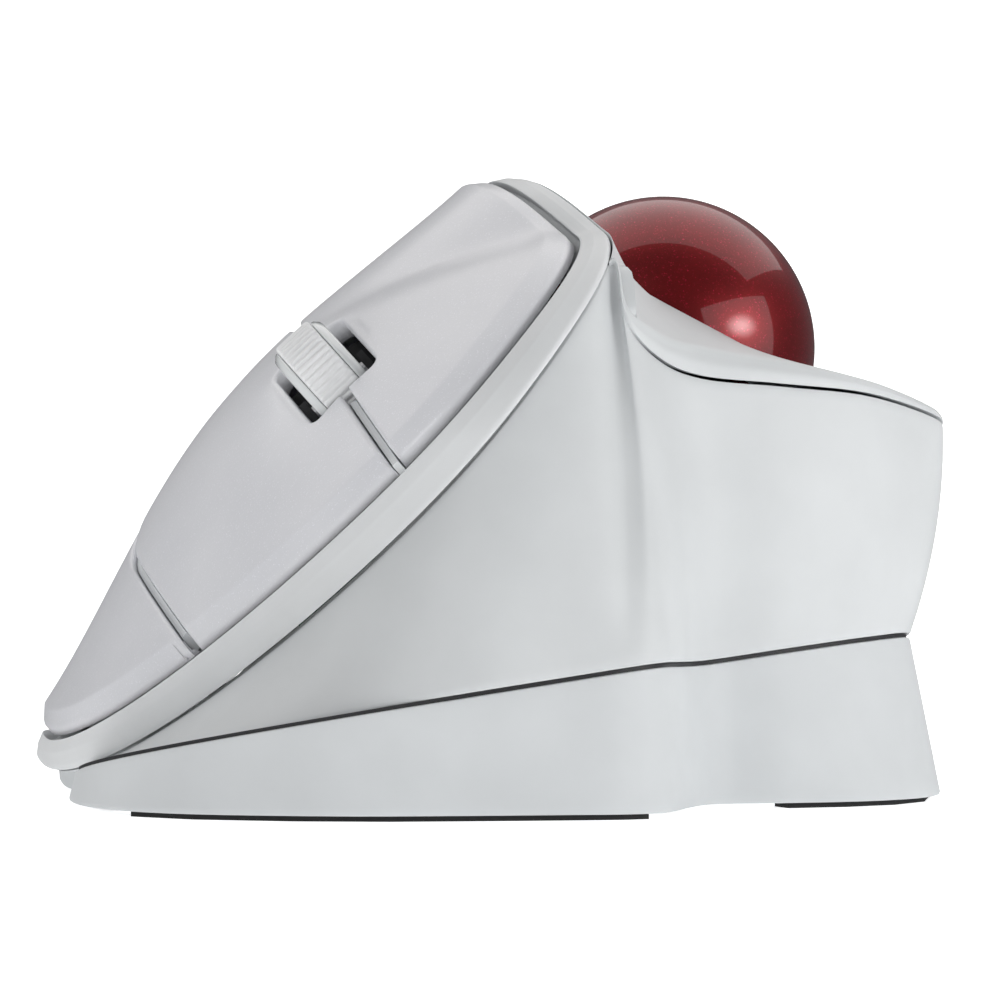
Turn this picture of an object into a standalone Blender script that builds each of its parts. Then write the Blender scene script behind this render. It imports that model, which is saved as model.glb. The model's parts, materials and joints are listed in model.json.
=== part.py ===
"""Thumb-operated trackball mouse on a wedge stand.

Working frame: millimetres, +X towards the thumb side, -Y towards the front (finger) side, +Z up,
with Z = 0 on the table. Everything is scaled to metres when a mesh is made.
"""

import math

import bmesh
import bpy
import numpy as np
from mathutils import Matrix, Vector

MM = 0.001
FRAME_SHIFT = np.array([1.95, -1.4, 0.0])

# Finger disc: the sloped oval that carries the buttons. u runs up the slope, v to the front, n outwards.
DISC_CENTRE = np.array([-21.0, -2.0, 32.9])
DISC_SLOPE = math.radians(42.4)
DISC_SKEW = 0.43
RIM_LENGTH, RIM_FRONT, RIM_REAR = 41.0, 40.5, 55.5
RIM_WIDTH = 2.4
PANEL_LENGTH, PANEL_FRONT, PANEL_REAR = 40.1, 39.3, 54.2
PANEL_LIFT = 2.2
CROWN = 11.5
PANEL_THICKNESS = 2.0

# Splits between the two buttons and the palm cover, in disc coordinates.
BUTTON_SPLIT_U, BUTTON_SPLIT_SLANT = 10.0, 0.07
PALM_SPLIT_U = -19.3
PALM_ARC = (1.7, 8.0, 21.0)
PALM_SPLIT_V, PALM_SPLIT_SLANT = -13.0, 0.89
SPLIT_GAP = 1.1

# Scroll wheel, in disc coordinates.
WHEEL_U, WHEEL_V, WHEEL_N = 10.9, 14.4, 5.9
WHEEL_RADIUS = 8.5
TYRE_WIDTH = 4.7
WHEEL_WIDTH = 6.8
SLOT_WIDTH, SLOT_LENGTH = 9.7, 17.2

# Trackball and its socket.
BALL_CENTRE = np.array([18.3, 2.0, 50.05])
BALL_RADIUS = 17.0
SOCKET_TILT = math.radians(28.0)
SOCKET_AXIS = np.array([math.sin(SOCKET_TILT), 0.0, math.cos(SOCKET_TILT)])
SOCKET_SIDE = np.array([math.cos(SOCKET_TILT), 0.0, -math.sin(SOCKET_TILT)])
OPENING_HEIGHT = 3.8
BALL_GAP = 0.5

# The plane where the mouse sits on its stand: height at the middle and its two slopes.
SEAT_HEIGHT, SEAT_SIDE_SLOPE, SEAT_FRONT_SLOPE = 9.8, 0.165, -0.064
SEAT_GAP = 0.45

WALL = 2.0
PARTING_GAP = 0.35


def seat_height(x, y):
    return SEAT_HEIGHT + SEAT_SIDE_SLOPE * x + SEAT_FRONT_SLOPE * y


def disc_point(u, v, n):
    """A point of the finger disc's skewed frame in the working frame."""
    c, s = math.cos(DISC_SLOPE), math.sin(DISC_SLOPE)
    x, y, z = DISC_CENTRE
    return np.array([x + u * c - n * s, y - DISC_SKEW * u - v, z + u * s + n * c])


def corner_power(a, b):
    """Exponent of the oval: 2 is an ellipse, and more is squarer."""
    if a <= 0:
        return 2.0
    corner = -0.22 if b > 0 else 0.85
    return 2.0 + corner * (2 * a * b / (a * a + b * b)) ** 2


def oval(angle, length, front, rear):
    """(u, v) of an oval about the disc's centre: angle 0 is its upper end, 90 degrees its front."""
    a, b = math.cos(angle), math.sin(angle)
    power = corner_power(a, b)
    radius = (abs(a) ** power + abs(b) ** power) ** (-1 / power)
    return length * radius * a, (front if b > 0 else rear) * radius * b


def oval_share(u, v, length, front, rear):
    """How far (u, v) lies from the middle, as a share of the oval's radius there."""
    a, b = u / length, v / (front if v > 0 else rear)
    power = corner_power(a, b)
    return (abs(a) ** power + abs(b) ** power) ** (1 / power)


def rim_height(u, v):
    """Height of the rim over the disc plane: it falls to the front, and rises then droops behind."""
    if v >= 0:
        return 1.6 - 0.17 * v
    back = -v
    upper = min(1.0, max(0.0, (u + 12) / 24))
    upper = upper * upper * (3 - 2 * upper)
    end_rise = 3.46 * (max(0.0, u) / 30) ** 2 * back**2 / (back**2 + 80)
    droop = (0.0036 + 0.0045 * upper) * back**2
    lean = 0.4 if u > 0 else 0.32
    return 1.6 + 0.17 * back - droop + lean * (u / 42) * back**2 / (back + 6) + end_rise


def crown_height(u, v):
    """Height of the panel's outer face over the disc plane."""
    share = min(1.0, oval_share(u, v, PANEL_LENGTH, PANEL_FRONT, PANEL_REAR))
    fade = 1 - 0.62 * (max(0.0, 15 - u) / 57) ** 1.6
    return rim_height(u, v) + PANEL_LIFT + CROWN * fade * (1 - share**2) ** 1.1


def ring_point(angle, outwards, down, sink=0.0):
    """A point of the bezel ring: outwards from its inner edge, down as a share of its drop, then sunk."""
    share = outwards / RIM_WIDTH
    u, v = oval(angle, RIM_LENGTH + outwards, RIM_FRONT + 1.5 * share, RIM_REAR + 2.5 * share)
    inner_u, inner_v = oval(angle, RIM_LENGTH, RIM_FRONT, RIM_REAR)
    lean = math.sin(angle)
    drop = 1.4 + (2.4 * lean if lean > 0 else -1.1 * lean)
    return disc_point(u, v, rim_height(inner_u, inner_v) - drop * down - sink)


def ease(values, count):
    """The list of points as a smooth closed curve, with this many steps between each two."""
    points = [np.array(value, float) for value in values]
    total = len(points)
    made = []
    for i in range(total):
        a, b, c, d = (points[(i + k) % total] for k in (-1, 0, 1, 2))
        for step in range(count):
            t = step / count
            made.append(
                0.5 * (2 * b + (c - a) * t + (2 * a - 5 * b + 4 * c - d) * t**2
                       + (3 * b - a - 3 * c + d) * t**3)
            )
    return made


# Stations round the mouse: the housing's foot (x, y), and over it either an angle of the ring or a point of
# the thumb deck's parting line.
RING_TO_DECK, DECK_TO_RING = 36, -48
STATIONS = [
    ((-45.5, 14.0), 180), ((-46.0, -8.0), 165), ((-45.6, -26.0), 150), ((-41.5, -41.0), 134),
    ((-32.0, -51.0), 116), ((-16.0, -55.4), 98), ((-3.0, -54.4), 78), ((6.5, -52.9), 58),
    ((13.0, -51.6), RING_TO_DECK),
    ((17.0, -48.4), (13.2, -36.0, 52.1)), ((19.6, -39.0), (16.6, -34.5, 48.0)),
    ((22.6, -31.8), (21.5, -32.0, 45.9)), ((30.6, -28.0), (30.5, -28.4, 45.1)),
    ((39.0, -22.4), (40.0, -22.0, 44.2)), ((44.4, -14.0), (48.0, -12.0, 41.9)),
    ((45.6, 0.0), (49.2, 2.0, 40.6)), ((45.2, 16.0), (48.6, 18.0, 41.0)),
    ((42.0, 32.0), (44.5, 34.0, 42.6)), ((33.5, 45.0), (35.0, 45.5, 44.6)),
    ((21.0, 53.0), (22.5, 50.0, 47.4)), ((10.0, 56.6), (10.5, 49.0, 51.5)),
    ((1.0, 57.8), DECK_TO_RING),
    ((-8.0, 58.0), -66), ((-19.0, 56.6), -88), ((-29.5, 52.0), -110), ((-38.5, 42.0), -133),
    ((-43.5, 28.0), -157),
]
FIRST_DECK, LAST_DECK = 9, 20
STEPS = 3


def seam_point(angle):
    """Where the housing meets the underside of the ring."""
    return ring_point(math.radians(angle), RIM_WIDTH - 0.1, 1.0, 0.95) - np.array([0.0, 0.0, PARTING_GAP])


def station_curves():
    """The housing's foot and its upper edge, as two closed lists of matching points."""
    foot = [np.array([x, y, seat_height(x, y)]) for x, y in ease([s[0] for s in STATIONS], STEPS)]
    tops = []
    total = len(STATIONS)
    corner = [seam_point(over) if isinstance(over, int) else np.array(over) for _, over in STATIONS]
    smooth = ease(corner, STEPS)
    for i in range(total):
        over, after = STATIONS[i][1], STATIONS[(i + 1) % total][1]
        for step in range(STEPS):
            if isinstance(over, int) and isinstance(after, int):
                end = after - 360 if after - over > 180 else after
                tops.append(seam_point(over + (end - over) * step / STEPS))
            else:
                tops.append(smooth[i * STEPS + step])
    return foot, tops


def lerp(a, b, t):
    return a + (b - a) * t


# ---- Scene and mesh helpers ----
def clear_scene():
    for obj in list(bpy.data.objects):
        bpy.data.objects.remove(obj)
    for collection in list(bpy.data.collections):
        bpy.data.collections.remove(collection)


def new_collection(name):
    made = bpy.data.collections.new(name)
    bpy.context.scene.collection.children.link(made)
    return made


clear_scene()
PARTS = new_collection("trackball_mouse")
CUTTERS = new_collection("cutters")


def material(name, colour, roughness, metallic=0.0):
    made = bpy.data.materials.new(name)
    made.use_nodes = True
    shader = made.node_tree.nodes["Principled BSDF"]
    shader.inputs["Base Color"].default_value = (*colour, 1)
    shader.inputs["Roughness"].default_value = roughness
    shader.inputs["Metallic"].default_value = metallic
    made.diffuse_color = (*colour, 1)
    return made


SHELL_WHITE = material("shell_white", (0.78, 0.80, 0.81), 0.35)
PEARL = material("pearl_white", (0.80, 0.80, 0.84), 0.3)
WHEEL_WHITE = material("wheel_white", (0.85, 0.86, 0.86), 0.4)
GLOSS_WHITE = material("gloss_white", (0.82, 0.83, 0.84), 0.12)
BALL_RED = material("ball_red", (0.33, 0.01, 0.02), 0.12)
RUBBER = material("foot_rubber", (0.03, 0.03, 0.03), 0.8)
DARK = material("dark_plastic", (0.04, 0.04, 0.045), 0.5)
BOARD = material("circuit_board", (0.02, 0.16, 0.07), 0.5)
STEEL = material("steel", (0.6, 0.6, 0.62), 0.3, 1.0)
CERAMIC = material("bearing_ceramic", (0.9, 0.9, 0.88), 0.15)
CELL = material("cell_jacket", (0.10, 0.12, 0.16), 0.35)
LENS = material("clear_lens", (0.6, 0.62, 0.65), 0.05)


def to_world(point):
    return Vector((np.array(point, float) + FRAME_SHIFT) * MM)


def add_object(name, mesh, finish, collection=None):
    made = bpy.data.objects.new(name, mesh)
    (collection or PARTS).objects.link(made)
    if finish is not None:
        mesh.materials.append(finish)
    else:
        made.hide_render = True
        made.display_type = "WIRE"
    return made


def mesh_from(name, points, faces):
    """A mesh of points in the working frame, with its faces turned outwards."""
    mesh = bpy.data.meshes.new(name)
    mesh.from_pydata([to_world(point) for point in points], [], faces)
    work = bmesh.new()
    work.from_mesh(mesh)
    bmesh.ops.recalc_face_normals(work, faces=work.faces)
    work.to_mesh(mesh)
    work.free()
    return mesh


def round_rows(rows, loop=False):
    """Quads between closed rows of equal length, and from the last row back to the first if it loops."""
    count = len(rows[0])
    points = [point for row in rows for point in row]
    faces = []
    for r in range(len(rows) if loop else len(rows) - 1):
        low, high = r * count, (r + 1) % len(rows) * count
        for i in range(count):
            j = (i + 1) % count
            faces.append((low + i, low + j, high + j, high + i))
    return points, faces


def open_shell(name, rows, thickness, finish):
    """A shell from closed rows of its outer face. The thickness grows inwards."""
    points, faces = round_rows(rows)
    mesh = bpy.data.meshes.new(name)
    mesh.from_pydata([to_world(point) for point in points], [], faces)
    made = add_object(name, mesh, finish)
    solid = made.modifiers.new("thickness", "SOLIDIFY")
    solid.thickness = thickness * MM
    solid.offset = -1
    solid.use_even_offset = False
    return made


def closed_loft(name, rows, finish, loop=False, collection=None):
    """A solid from closed rows, with flat ends unless the rows loop round."""
    points, faces = round_rows(rows, loop)
    if not loop:
        count = len(rows[0])
        faces.append(tuple(range(count)))
        faces.append(tuple(range((len(rows) - 1) * count, len(rows) * count)))
    return add_object(name, mesh_from(name, points, faces), finish, collection)


def frame_matrix(origin, x_axis, z_axis):
    """A matrix whose x and z axes lie along these directions, at this point of the working frame."""
    z = Vector(z_axis).normalized()
    x = Vector(x_axis)
    x = (x - z * x.dot(z)).normalized()
    y = z.cross(x)
    made = Matrix((x, y, z)).transposed().to_4x4()
    made.translation = to_world(origin)
    return made


def primitive(name, work, matrix, finish):
    mesh = bpy.data.meshes.new(name)
    bmesh.ops.recalc_face_normals(work, faces=work.faces)
    work.to_mesh(mesh)
    work.free()
    made = add_object(name, mesh, finish, None if finish else CUTTERS)
    made.matrix_world = matrix
    return made


def box(name, matrix, low, high, finish, bevel=0.0):
    """A box between two corners in the matrix's own axes, in millimetres."""
    work = bmesh.new()
    bmesh.ops.create_cube(work, size=1)
    low, high = np.array(low, float), np.array(high, float)
    for vert in work.verts:
        vert.co = Vector((low + (np.array(vert.co) + 0.5) * (high - low)) * MM)
    made = primitive(name, work, matrix, finish)
    if bevel:
        edge = made.modifiers.new("edges", "BEVEL")
        edge.width = bevel * MM
        edge.segments = 2
        edge.limit_method = "ANGLE"
    return made


def rod(name, matrix, radius, low, high, finish, sides=24, top_radius=None):
    """A cylinder or cone along the matrix's z axis."""
    work = bmesh.new()
    bmesh.ops.create_cone(
        work, cap_ends=True, segments=sides, radius1=radius * MM,
        radius2=(radius if top_radius is None else top_radius) * MM, depth=(high - low) * MM,
    )
    bmesh.ops.translate(work, verts=work.verts, vec=(0, 0, (high + low) / 2 * MM))
    return primitive(name, work, matrix, finish)


def turned(name, matrix, profile, finish, sides=32):
    """A solid turned about the matrix's z axis from closed (radius, height) points."""
    rows = []
    for i in range(sides):
        angle = 2 * math.pi * i / sides
        rows.append([(r * math.cos(angle), r * math.sin(angle), z) for r, z in profile])
    points, faces = round_rows(rows, loop=True)
    mesh = bpy.data.meshes.new(name)
    mesh.from_pydata([Vector(point) * MM for point in points], [], faces)
    work = bmesh.new()
    work.from_mesh(mesh)
    bmesh.ops.remove_doubles(work, verts=work.verts, dist=1e-7)
    bmesh.ops.dissolve_degenerate(work, edges=work.edges, dist=1e-7)
    return primitive(name, work, matrix, finish)


def boolean(target, other, operation):
    step = target.modifiers.new(operation.lower(), "BOOLEAN")
    step.operation = operation
    step.object = other
    return target


def join(target, *others):
    for other in others:
        other.hide_render = True
        other.display_type = "WIRE"
        boolean(target, other, "UNION")


def cut(target, *others):
    for other in others:
        boolean(target, other, "DIFFERENCE")


def keep_largest(obj):
    """Bakes the modifiers and drops the crumbs that a cut leaves beside the main piece."""
    graph = bpy.context.evaluated_depsgraph_get()
    mesh = bpy.data.meshes.new_from_object(obj.evaluated_get(graph))
    work = bmesh.new()
    work.from_mesh(mesh)
    waiting = set(work.faces)
    islands = []
    while waiting:
        found, reach = [], [waiting.pop()]
        while reach:
            face = reach.pop()
            found.append(face)
            for edge in face.edges:
                for other in edge.link_faces:
                    if len(edge.link_faces) == 2 and other in waiting:
                        waiting.remove(other)
                        reach.append(other)
        islands.append(found)
    islands.sort(key=len)
    crumbs = [face for island in islands[:-1] for face in island]
    bmesh.ops.delete(work, geom=crumbs, context="FACES")
    work.to_mesh(mesh)
    work.free()
    obj.modifiers.clear()
    obj.data = mesh


def set_origin(obj, point):
    """Moves the object's origin to a point of the working frame, without moving its mesh."""
    target = to_world(point)
    obj.data.transform(Matrix.Translation(-target) @ obj.matrix_world)
    obj.matrix_world = Matrix.Translation(target)


def inset(loop, distance):
    """A closed list of points moved sideways in plan, inwards for a positive distance."""
    moved = []
    total = len(loop)
    for i in range(total):
        along = (loop[(i + 1) % total] - loop[i - 1])[:2]
        along = along / np.linalg.norm(along)
        moved.append(loop[i] + np.array([-along[1], along[0], 0.0]) * distance)
    return moved


def clip_low(loop, least):
    """Plan points whose seat would be lower than this, moved up the slope until it isn't."""
    slope = np.array([SEAT_SIDE_SLOPE, SEAT_FRONT_SLOPE])
    moved = []
    for point in loop:
        short = max(0.0, least - seat_height(point[0], point[1]))
        x, y = point[:2] + slope * short / slope.dot(slope)
        moved.append(np.array([x, y, seat_height(x, y)]))
    return moved


def at_height(loop, height):
    return [np.array([x, y, height]) for x, y, _ in loop]


def lifted(loop, height):
    """Plan points at this height over the seat plane."""
    return [np.array([x, y, seat_height(x, y) + height]) for x, y, _ in loop]


SEAT_NORMAL = np.array([-SEAT_SIDE_SLOPE, -SEAT_FRONT_SLOPE, 1.0])
SEAT_NORMAL /= np.linalg.norm(SEAT_NORMAL)


def seat_frame(x, y):
    """A matrix on the seat plane over this plan point: z up from the plane, x across the mouse."""
    return frame_matrix((x, y, seat_height(x, y)), (1, 0, SEAT_SIDE_SLOPE), SEAT_NORMAL)


SLOPE_DIRECTION = np.array([math.cos(DISC_SLOPE), 0.0, math.sin(DISC_SLOPE)])
DISC_NORMAL = np.array([-math.sin(DISC_SLOPE), 0.0, math.cos(DISC_SLOPE)])


def disc_frame(u, v):
    """A matrix on the disc plane: x up the slope, y to the rear, z outwards."""
    return frame_matrix(disc_point(u, v, 0), SLOPE_DIRECTION, DISC_NORMAL)


FOOT, TOPS = station_curves()
ANGLES = [2 * math.pi * i / 56 for i in range(56)]


# The housing's own foot where it stands back from the stand's edge, by station.
HOUSING_FEET = {1: (-46.8, 1.0), 2: (-43.6, -9.5), 3: (-38.6, -26.0), 4: (-30.0, -43.0), 5: (-16.0, -53.2)}
WALL_SHARES = (0, 0.3, 0.6, 0.85, 1)
WALL_BULGE = 1.4


def over_seat(points):
    return points[..., 2] - seat_height(points[..., 0], points[..., 1])


def wall_grid():
    """The housing's outer face as an array of rows from foot to upper edge, and its outward directions."""
    feet = [HOUSING_FEET.get(i, station[0]) for i, station in enumerate(STATIONS)]
    feet = lifted([np.array([x, y, 0.0]) for x, y in ease(feet, STEPS)], SEAT_GAP)
    rows = []
    for share in WALL_SHARES:
        row = []
        for low, high in zip(feet, TOPS):
            swell = WALL_BULGE * 4 * share * (1 - share) * min(1.0, max(0.0, high[2] - low[2]) / 30)
            out = np.array([low[0], low[1], 0.0])
            row.append(lerp(low, high, share) + out / np.linalg.norm(out) * swell)
        rows.append(row)
    outer = np.array(rows)
    along = np.roll(outer, -1, axis=1) - np.roll(outer, 1, axis=1)
    normal = np.cross(along, np.gradient(outer, axis=0))
    return outer, normal / np.linalg.norm(normal, axis=2, keepdims=True)


def is_deck(column):
    """True where the housing's upper edge meets the thumb deck and not the ring."""
    return (FIRST_DECK - 1) * STEPS < column < (LAST_DECK + 1) * STEPS


def resampled(column, least):
    """An open line of points cut off below this height over the seat, with as many points as before."""
    heights = over_seat(column)
    first = max([k + 1 for k in range(len(column) - 1) if heights[k] < least], default=0)
    kept = list(column[first:])
    if first:
        t = (least - heights[first - 1]) / (heights[first] - heights[first - 1])
        kept.insert(0, lerp(column[first - 1], column[first], t))
    kept = np.array(kept)
    run = np.concatenate([[0], np.cumsum(np.linalg.norm(np.diff(kept, axis=0), axis=1))])
    wanted = np.linspace(0, run[-1], len(column))
    return np.array([np.interp(wanted, run, kept[:, axis]) for axis in range(3)]).T


# ---- Upper shells ----
def make_bezel_ring():
    section = [(0, 0, 0), (1.4, 0.5, 0), (RIM_WIDTH, 1, 0), (RIM_WIDTH - 0.1, 1, 0.5), (0, 0, 1.6)]
    rows = [[ring_point(angle, *corner) for angle in ANGLES] for corner in section]
    closed_loft("bezel_ring", rows, SHELL_WHITE, loop=True)


def make_main_housing():
    outer, normal = wall_grid()
    headroom = np.maximum(over_seat(outer[-1]) - SEAT_GAP, 0.2)
    inner = outer - normal * np.minimum(WALL, 0.5 * headroom)[None, :, None]
    for i in range(outer.shape[1]):
        step = inner[-1, i] - outer[-1, i]
        if is_deck(i):
            step[2] = min(step[2], -0.6)
        else:
            step = step - DISC_NORMAL * max(0.0, step.dot(DISC_NORMAL) + 0.3)
        inner[-1, i] = outer[-1, i] + step
        inner[:, i] = resampled(inner[:, i], SEAT_GAP)
    closed_loft("main_housing", list(outer) + list(inner[::-1]), SHELL_WHITE, loop=True)


# Height of the deck's front lip over the parting line, from the ring round the thumb side to the ring again.
LIP_HEIGHTS = [0.3, 3.4, 4.1, 3.9, 3.0, 1.7, 0.9, 0.8, 0.9, 1.4, 2.2, 2.6, 1.6, 0.5]
RIDGE_STEPS = 15
DECK_WALL = 1.3


def socket_point(turn, radius, height):
    """A point about the socket's axis: turn 0 is the low side, height is from the ball's middle."""
    front = np.array([0.0, -1.0, 0.0])
    side = SOCKET_SIDE * math.cos(turn) + front * math.sin(turn)
    return BALL_CENTRE + SOCKET_AXIS * height + side * radius


def deck_border():
    """The deck's parting line with the height of its lip at each point, then its line along the ring."""
    first, last = (FIRST_DECK - 1) * STEPS, (LAST_DECK + 1) * STEPS
    border = []
    for i in range(first, last + 1):
        share = (i - first) / STEPS
        low = min(int(share), len(LIP_HEIGHTS) - 2)
        lip = lerp(LIP_HEIGHTS[low], LIP_HEIGHTS[low + 1], share - low)
        border.append((TOPS[i] + np.array([0.0, 0.0, PARTING_GAP]), lip))
    for i in range(1, RIDGE_STEPS):
        angle = math.radians(lerp(DECK_TO_RING, RING_TO_DECK, i / RIDGE_STEPS))
        border.append((ring_point(angle, RIM_WIDTH + 0.8, 1.0, 0.6), 0.35))
    return border


def make_thumb_deck():
    sphere = BALL_RADIUS + BALL_GAP
    opening = math.sqrt(sphere**2 - OPENING_HEIGHT**2)
    rows = [[] for _ in range(7)]
    for point, lip in deck_border():
        offset = point - BALL_CENTRE
        turn = math.atan2(-offset[1], offset.dot(SOCKET_SIDE))
        rim = socket_point(turn, opening, OPENING_HEIGHT)
        inwards = (rim - point) * np.array([1.0, 1.0, 0.0])
        inwards = inwards / np.linalg.norm(inwards)
        crest = point + inwards * 0.4 * lip + np.array([0.0, 0.0, lip])
        rows[0].append(point)
        rows[1].append(point + inwards * 0.06 * lip + np.array([0.0, 0.0, 0.55 * lip]))
        rows[2].append(crest)
        rows[3].append(lerp(crest, rim, 0.4))
        rows[4].append(lerp(crest, rim, 0.8))
        rows[5].append(rim)
        rows[6].append(socket_point(turn, sphere, 0.5))
    deck = open_shell("thumb_deck", rows, DECK_WALL, SHELL_WHITE)
    corners = [(-8, 0, -5), (RIM_WIDTH + 0.4, 1, -7), (RIM_WIDTH + 0.4, 1, 0.9), (-1, 0, 2.6), (-8, 0, 9)]
    rows = [[ring_point(angle, *corner) for angle in ANGLES] for corner in corners]
    boolean(deck, closed_loft("ring_clearance", rows, None, loop=True, collection=CUTTERS), "DIFFERENCE")
    # The shell's inner face crosses itself in the tight front corner.
    deck.modifiers[-1].use_self = True
    keep_largest(deck)


# ---- Finger panel ----
PANEL_SHARES = (0.08, 0.36, 0.6, 0.8, 0.93, 0.985)


def dome_solid(name, shares, top, edge, thickness, finish, collection=None):
    """A domed plate: its outer face stands `top` over the panel's face, and its edge is `edge` deep."""
    def row(share, sink):
        points = []
        for angle in ANGLES:
            u, v = oval(angle, PANEL_LENGTH, PANEL_FRONT, PANEL_REAR)
            u, v = u * share, v * share
            points.append(disc_point(u, v, crown_height(u, v) + top - sink))
        return points

    rim_share = shares[-1] + 0.015
    rows = [row(share, 0) for share in shares]
    rows += [row(rim_share, 0.7), row(rim_share, edge), row(shares[-1] - 0.035, edge)]
    rows += [row(share, thickness) for share in shares[-2::-1]]
    return closed_loft(name, rows, finish, collection=collection)


def disc_prism(name, outline, low=-30.0, high=45.0):
    """A cutter: an outline in disc coordinates, extruded along the disc's normal."""
    rows = [[disc_point(u, v, n) for u, v in outline] for n in (low, high)]
    return closed_loft(name, rows, None, collection=CUTTERS)


def button_split(v, offset):
    """A point of the line between the two buttons, moved by this much up the slope."""
    slanted = PANEL_FRONT - max(v, WHEEL_V)
    return (BUTTON_SPLIT_U + BUTTON_SPLIT_SLANT * slanted + offset, v)


def palm_split_end(u, offset):
    """A point of the palm split's straight upper part, which runs to the rear as it climbs."""
    return (u, PALM_SPLIT_V - PALM_SPLIT_SLANT * (u - PALM_ARC[0]) - offset * math.hypot(1, PALM_SPLIT_SLANT))


def palm_split(offset):
    """The line between the buttons and the palm cover, moved by this much towards the cover."""
    centre_u, centre_v, radius = PALM_ARC
    line = [(PALM_SPLIT_U - offset, 70.0)]
    for i in range(9):
        turn = math.pi + math.pi / 2 * i / 8
        reach = radius + offset
        line.append((centre_u + reach * math.cos(turn), centre_v + reach * math.sin(turn)))
    return line


def slot_outline(clearance):
    half_u, half_v = SLOT_WIDTH / 2 + clearance, SLOT_LENGTH / 2 + clearance
    corners = ((-half_u, -half_v), (half_u, -half_v), (half_u, half_v), (-half_u, half_v))
    # The slot is square to the wheel, so its ends follow the disc's skew.
    return [(WHEEL_U + 0.2 + u, WHEEL_V + 0.2 + v - DISC_SKEW * u) for u, v in corners]


LEFT_POST, RIGHT_POST = (20.0, 22.0), (-1.0, 22.0)
POST_RADIUS = 1.6
SWITCH_TOP = -2.6
BUTTON_HINGE_V = (-33.0, -11.0)


def make_buttons():
    half = SPLIT_GAP / 2
    slot = disc_prism("wheel_slot_cutter", slot_outline(0))
    # Where the split between the buttons meets the palm split.
    meeting_u = 11.7
    left_zone = [
        palm_split_end(meeting_u + half, -half), palm_split_end(70, -half), (70, 70), button_split(70, half),
        button_split(WHEEL_V, half), button_split(palm_split_end(meeting_u, 0)[1] + 2, half),
    ]
    right_zone = palm_split(-half) + [
        palm_split_end(meeting_u - half, -half), button_split(palm_split_end(meeting_u, 0)[1] + 2, -half),
        button_split(WHEEL_V, -half), button_split(70, -half),
    ]
    for (name, zone, post_place), hinge_v in zip((
        ("left_button", left_zone, LEFT_POST),
        ("right_button", right_zone, RIGHT_POST),
    ), BUTTON_HINGE_V):
        button = dome_solid(name, PANEL_SHARES, 0.0, 2.9, PANEL_THICKNESS, PEARL)
        zone_cutter = disc_prism(name + "_zone", zone)
        boolean(button, zone_cutter, "INTERSECT")
        cut(button, slot)
        under = crown_height(*post_place) - PANEL_THICKNESS
        foot = SWITCH_TOP + 0.35
        post = rod(name + "_post", disc_frame(*post_place), POST_RADIUS, foot, under + 0.8, None, 12)
        join(button, post)
        set_origin(button, disc_point(post_place[0], hinge_v, 0))


def slab(name, low, high, top, bottom, finish, steps=3):
    """A plate that follows the panel's face between two corners in disc coordinates."""
    count = steps + 1
    points, faces = [], []
    for level in (top, bottom):
        for i in range(count):
            for j in range(count):
                u, v = lerp(low[0], high[0], i / steps), lerp(low[1], high[1], j / steps)
                points.append(disc_point(u, v, crown_height(u, v) + level))
    size = count * count
    for i in range(steps):
        for j in range(steps):
            a = i * count + j
            quad = (a, a + 1, a + count + 1, a + count)
            faces.append(quad)
            faces.append(tuple(size + k for k in quad))
    for k in range(steps):
        for a, b in (
            (k, k + 1), (steps * count + k, steps * count + k + 1),
            (k * count, (k + 1) * count), (k * count + steps, (k + 1) * count + steps),
        ):
            faces.append((a, b, size + b, size + a))
    return add_object(name, mesh_from(name, points, faces), finish)


# Small keys in the palm cover: name, low corner and high corner in disc coordinates.
SMALL_KEYS = (
    ("forward_button", (19.5, -41.5), (25.0, -35.5)),
    ("back_button", (11.5, -45.5), (17.5, -39.5)),
    ("dpi_button", (6.5, -34.0), (11.0, -28.0)),
)
KEY_GAP = 0.45
KEY_LIFT = 0.4


def make_palm_cover():
    cover = dome_solid("palm_cover", PANEL_SHARES, 0.0, 2.9, PANEL_THICKNESS, PEARL)
    half = SPLIT_GAP / 2
    zone = palm_split(half) + [palm_split_end(70, half), (70, 70)]
    cut(cover, disc_prism("palm_cover_zone", zone))
    for name, low, high in SMALL_KEYS:
        a, b, c, d = low[0] - KEY_GAP, low[1] - KEY_GAP, high[0] + KEY_GAP, high[1] + KEY_GAP
        cut(cover, disc_prism(name + "_pocket", [(a, b), (c, b), (c, d), (a, d)]))
        key = slab(name, low, high, KEY_LIFT, -2.7, GLOSS_WHITE)
        set_origin(key, disc_point((low[0] + high[0]) / 2, (low[1] + high[1]) / 2, 0))


def make_button_frame():
    frame = dome_solid("button_frame", (0.08, 0.36, 0.6, 0.8, 0.9), -3.5, 1.5, 1.5, SHELL_WHITE)
    cut(frame, disc_prism("carrier_window", slot_outline(1.2)))
    for name, place in (("left", LEFT_POST), ("right", RIGHT_POST)):
        cut(frame, rod(name + "_post_hole", disc_frame(*place), POST_RADIUS + 1.0, -12, 20, None, 12))


# ---- Scroll wheel ----
def wheel_frame():
    return frame_matrix(disc_point(WHEEL_U, WHEEL_V, WHEEL_N), -DISC_NORMAL, SLOPE_DIRECTION)


AXLE_RADIUS = 1.2
HUB_RADIUS = 6.0
ARM_INNER, ARM_OUTER = 3.7, 4.6


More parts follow.
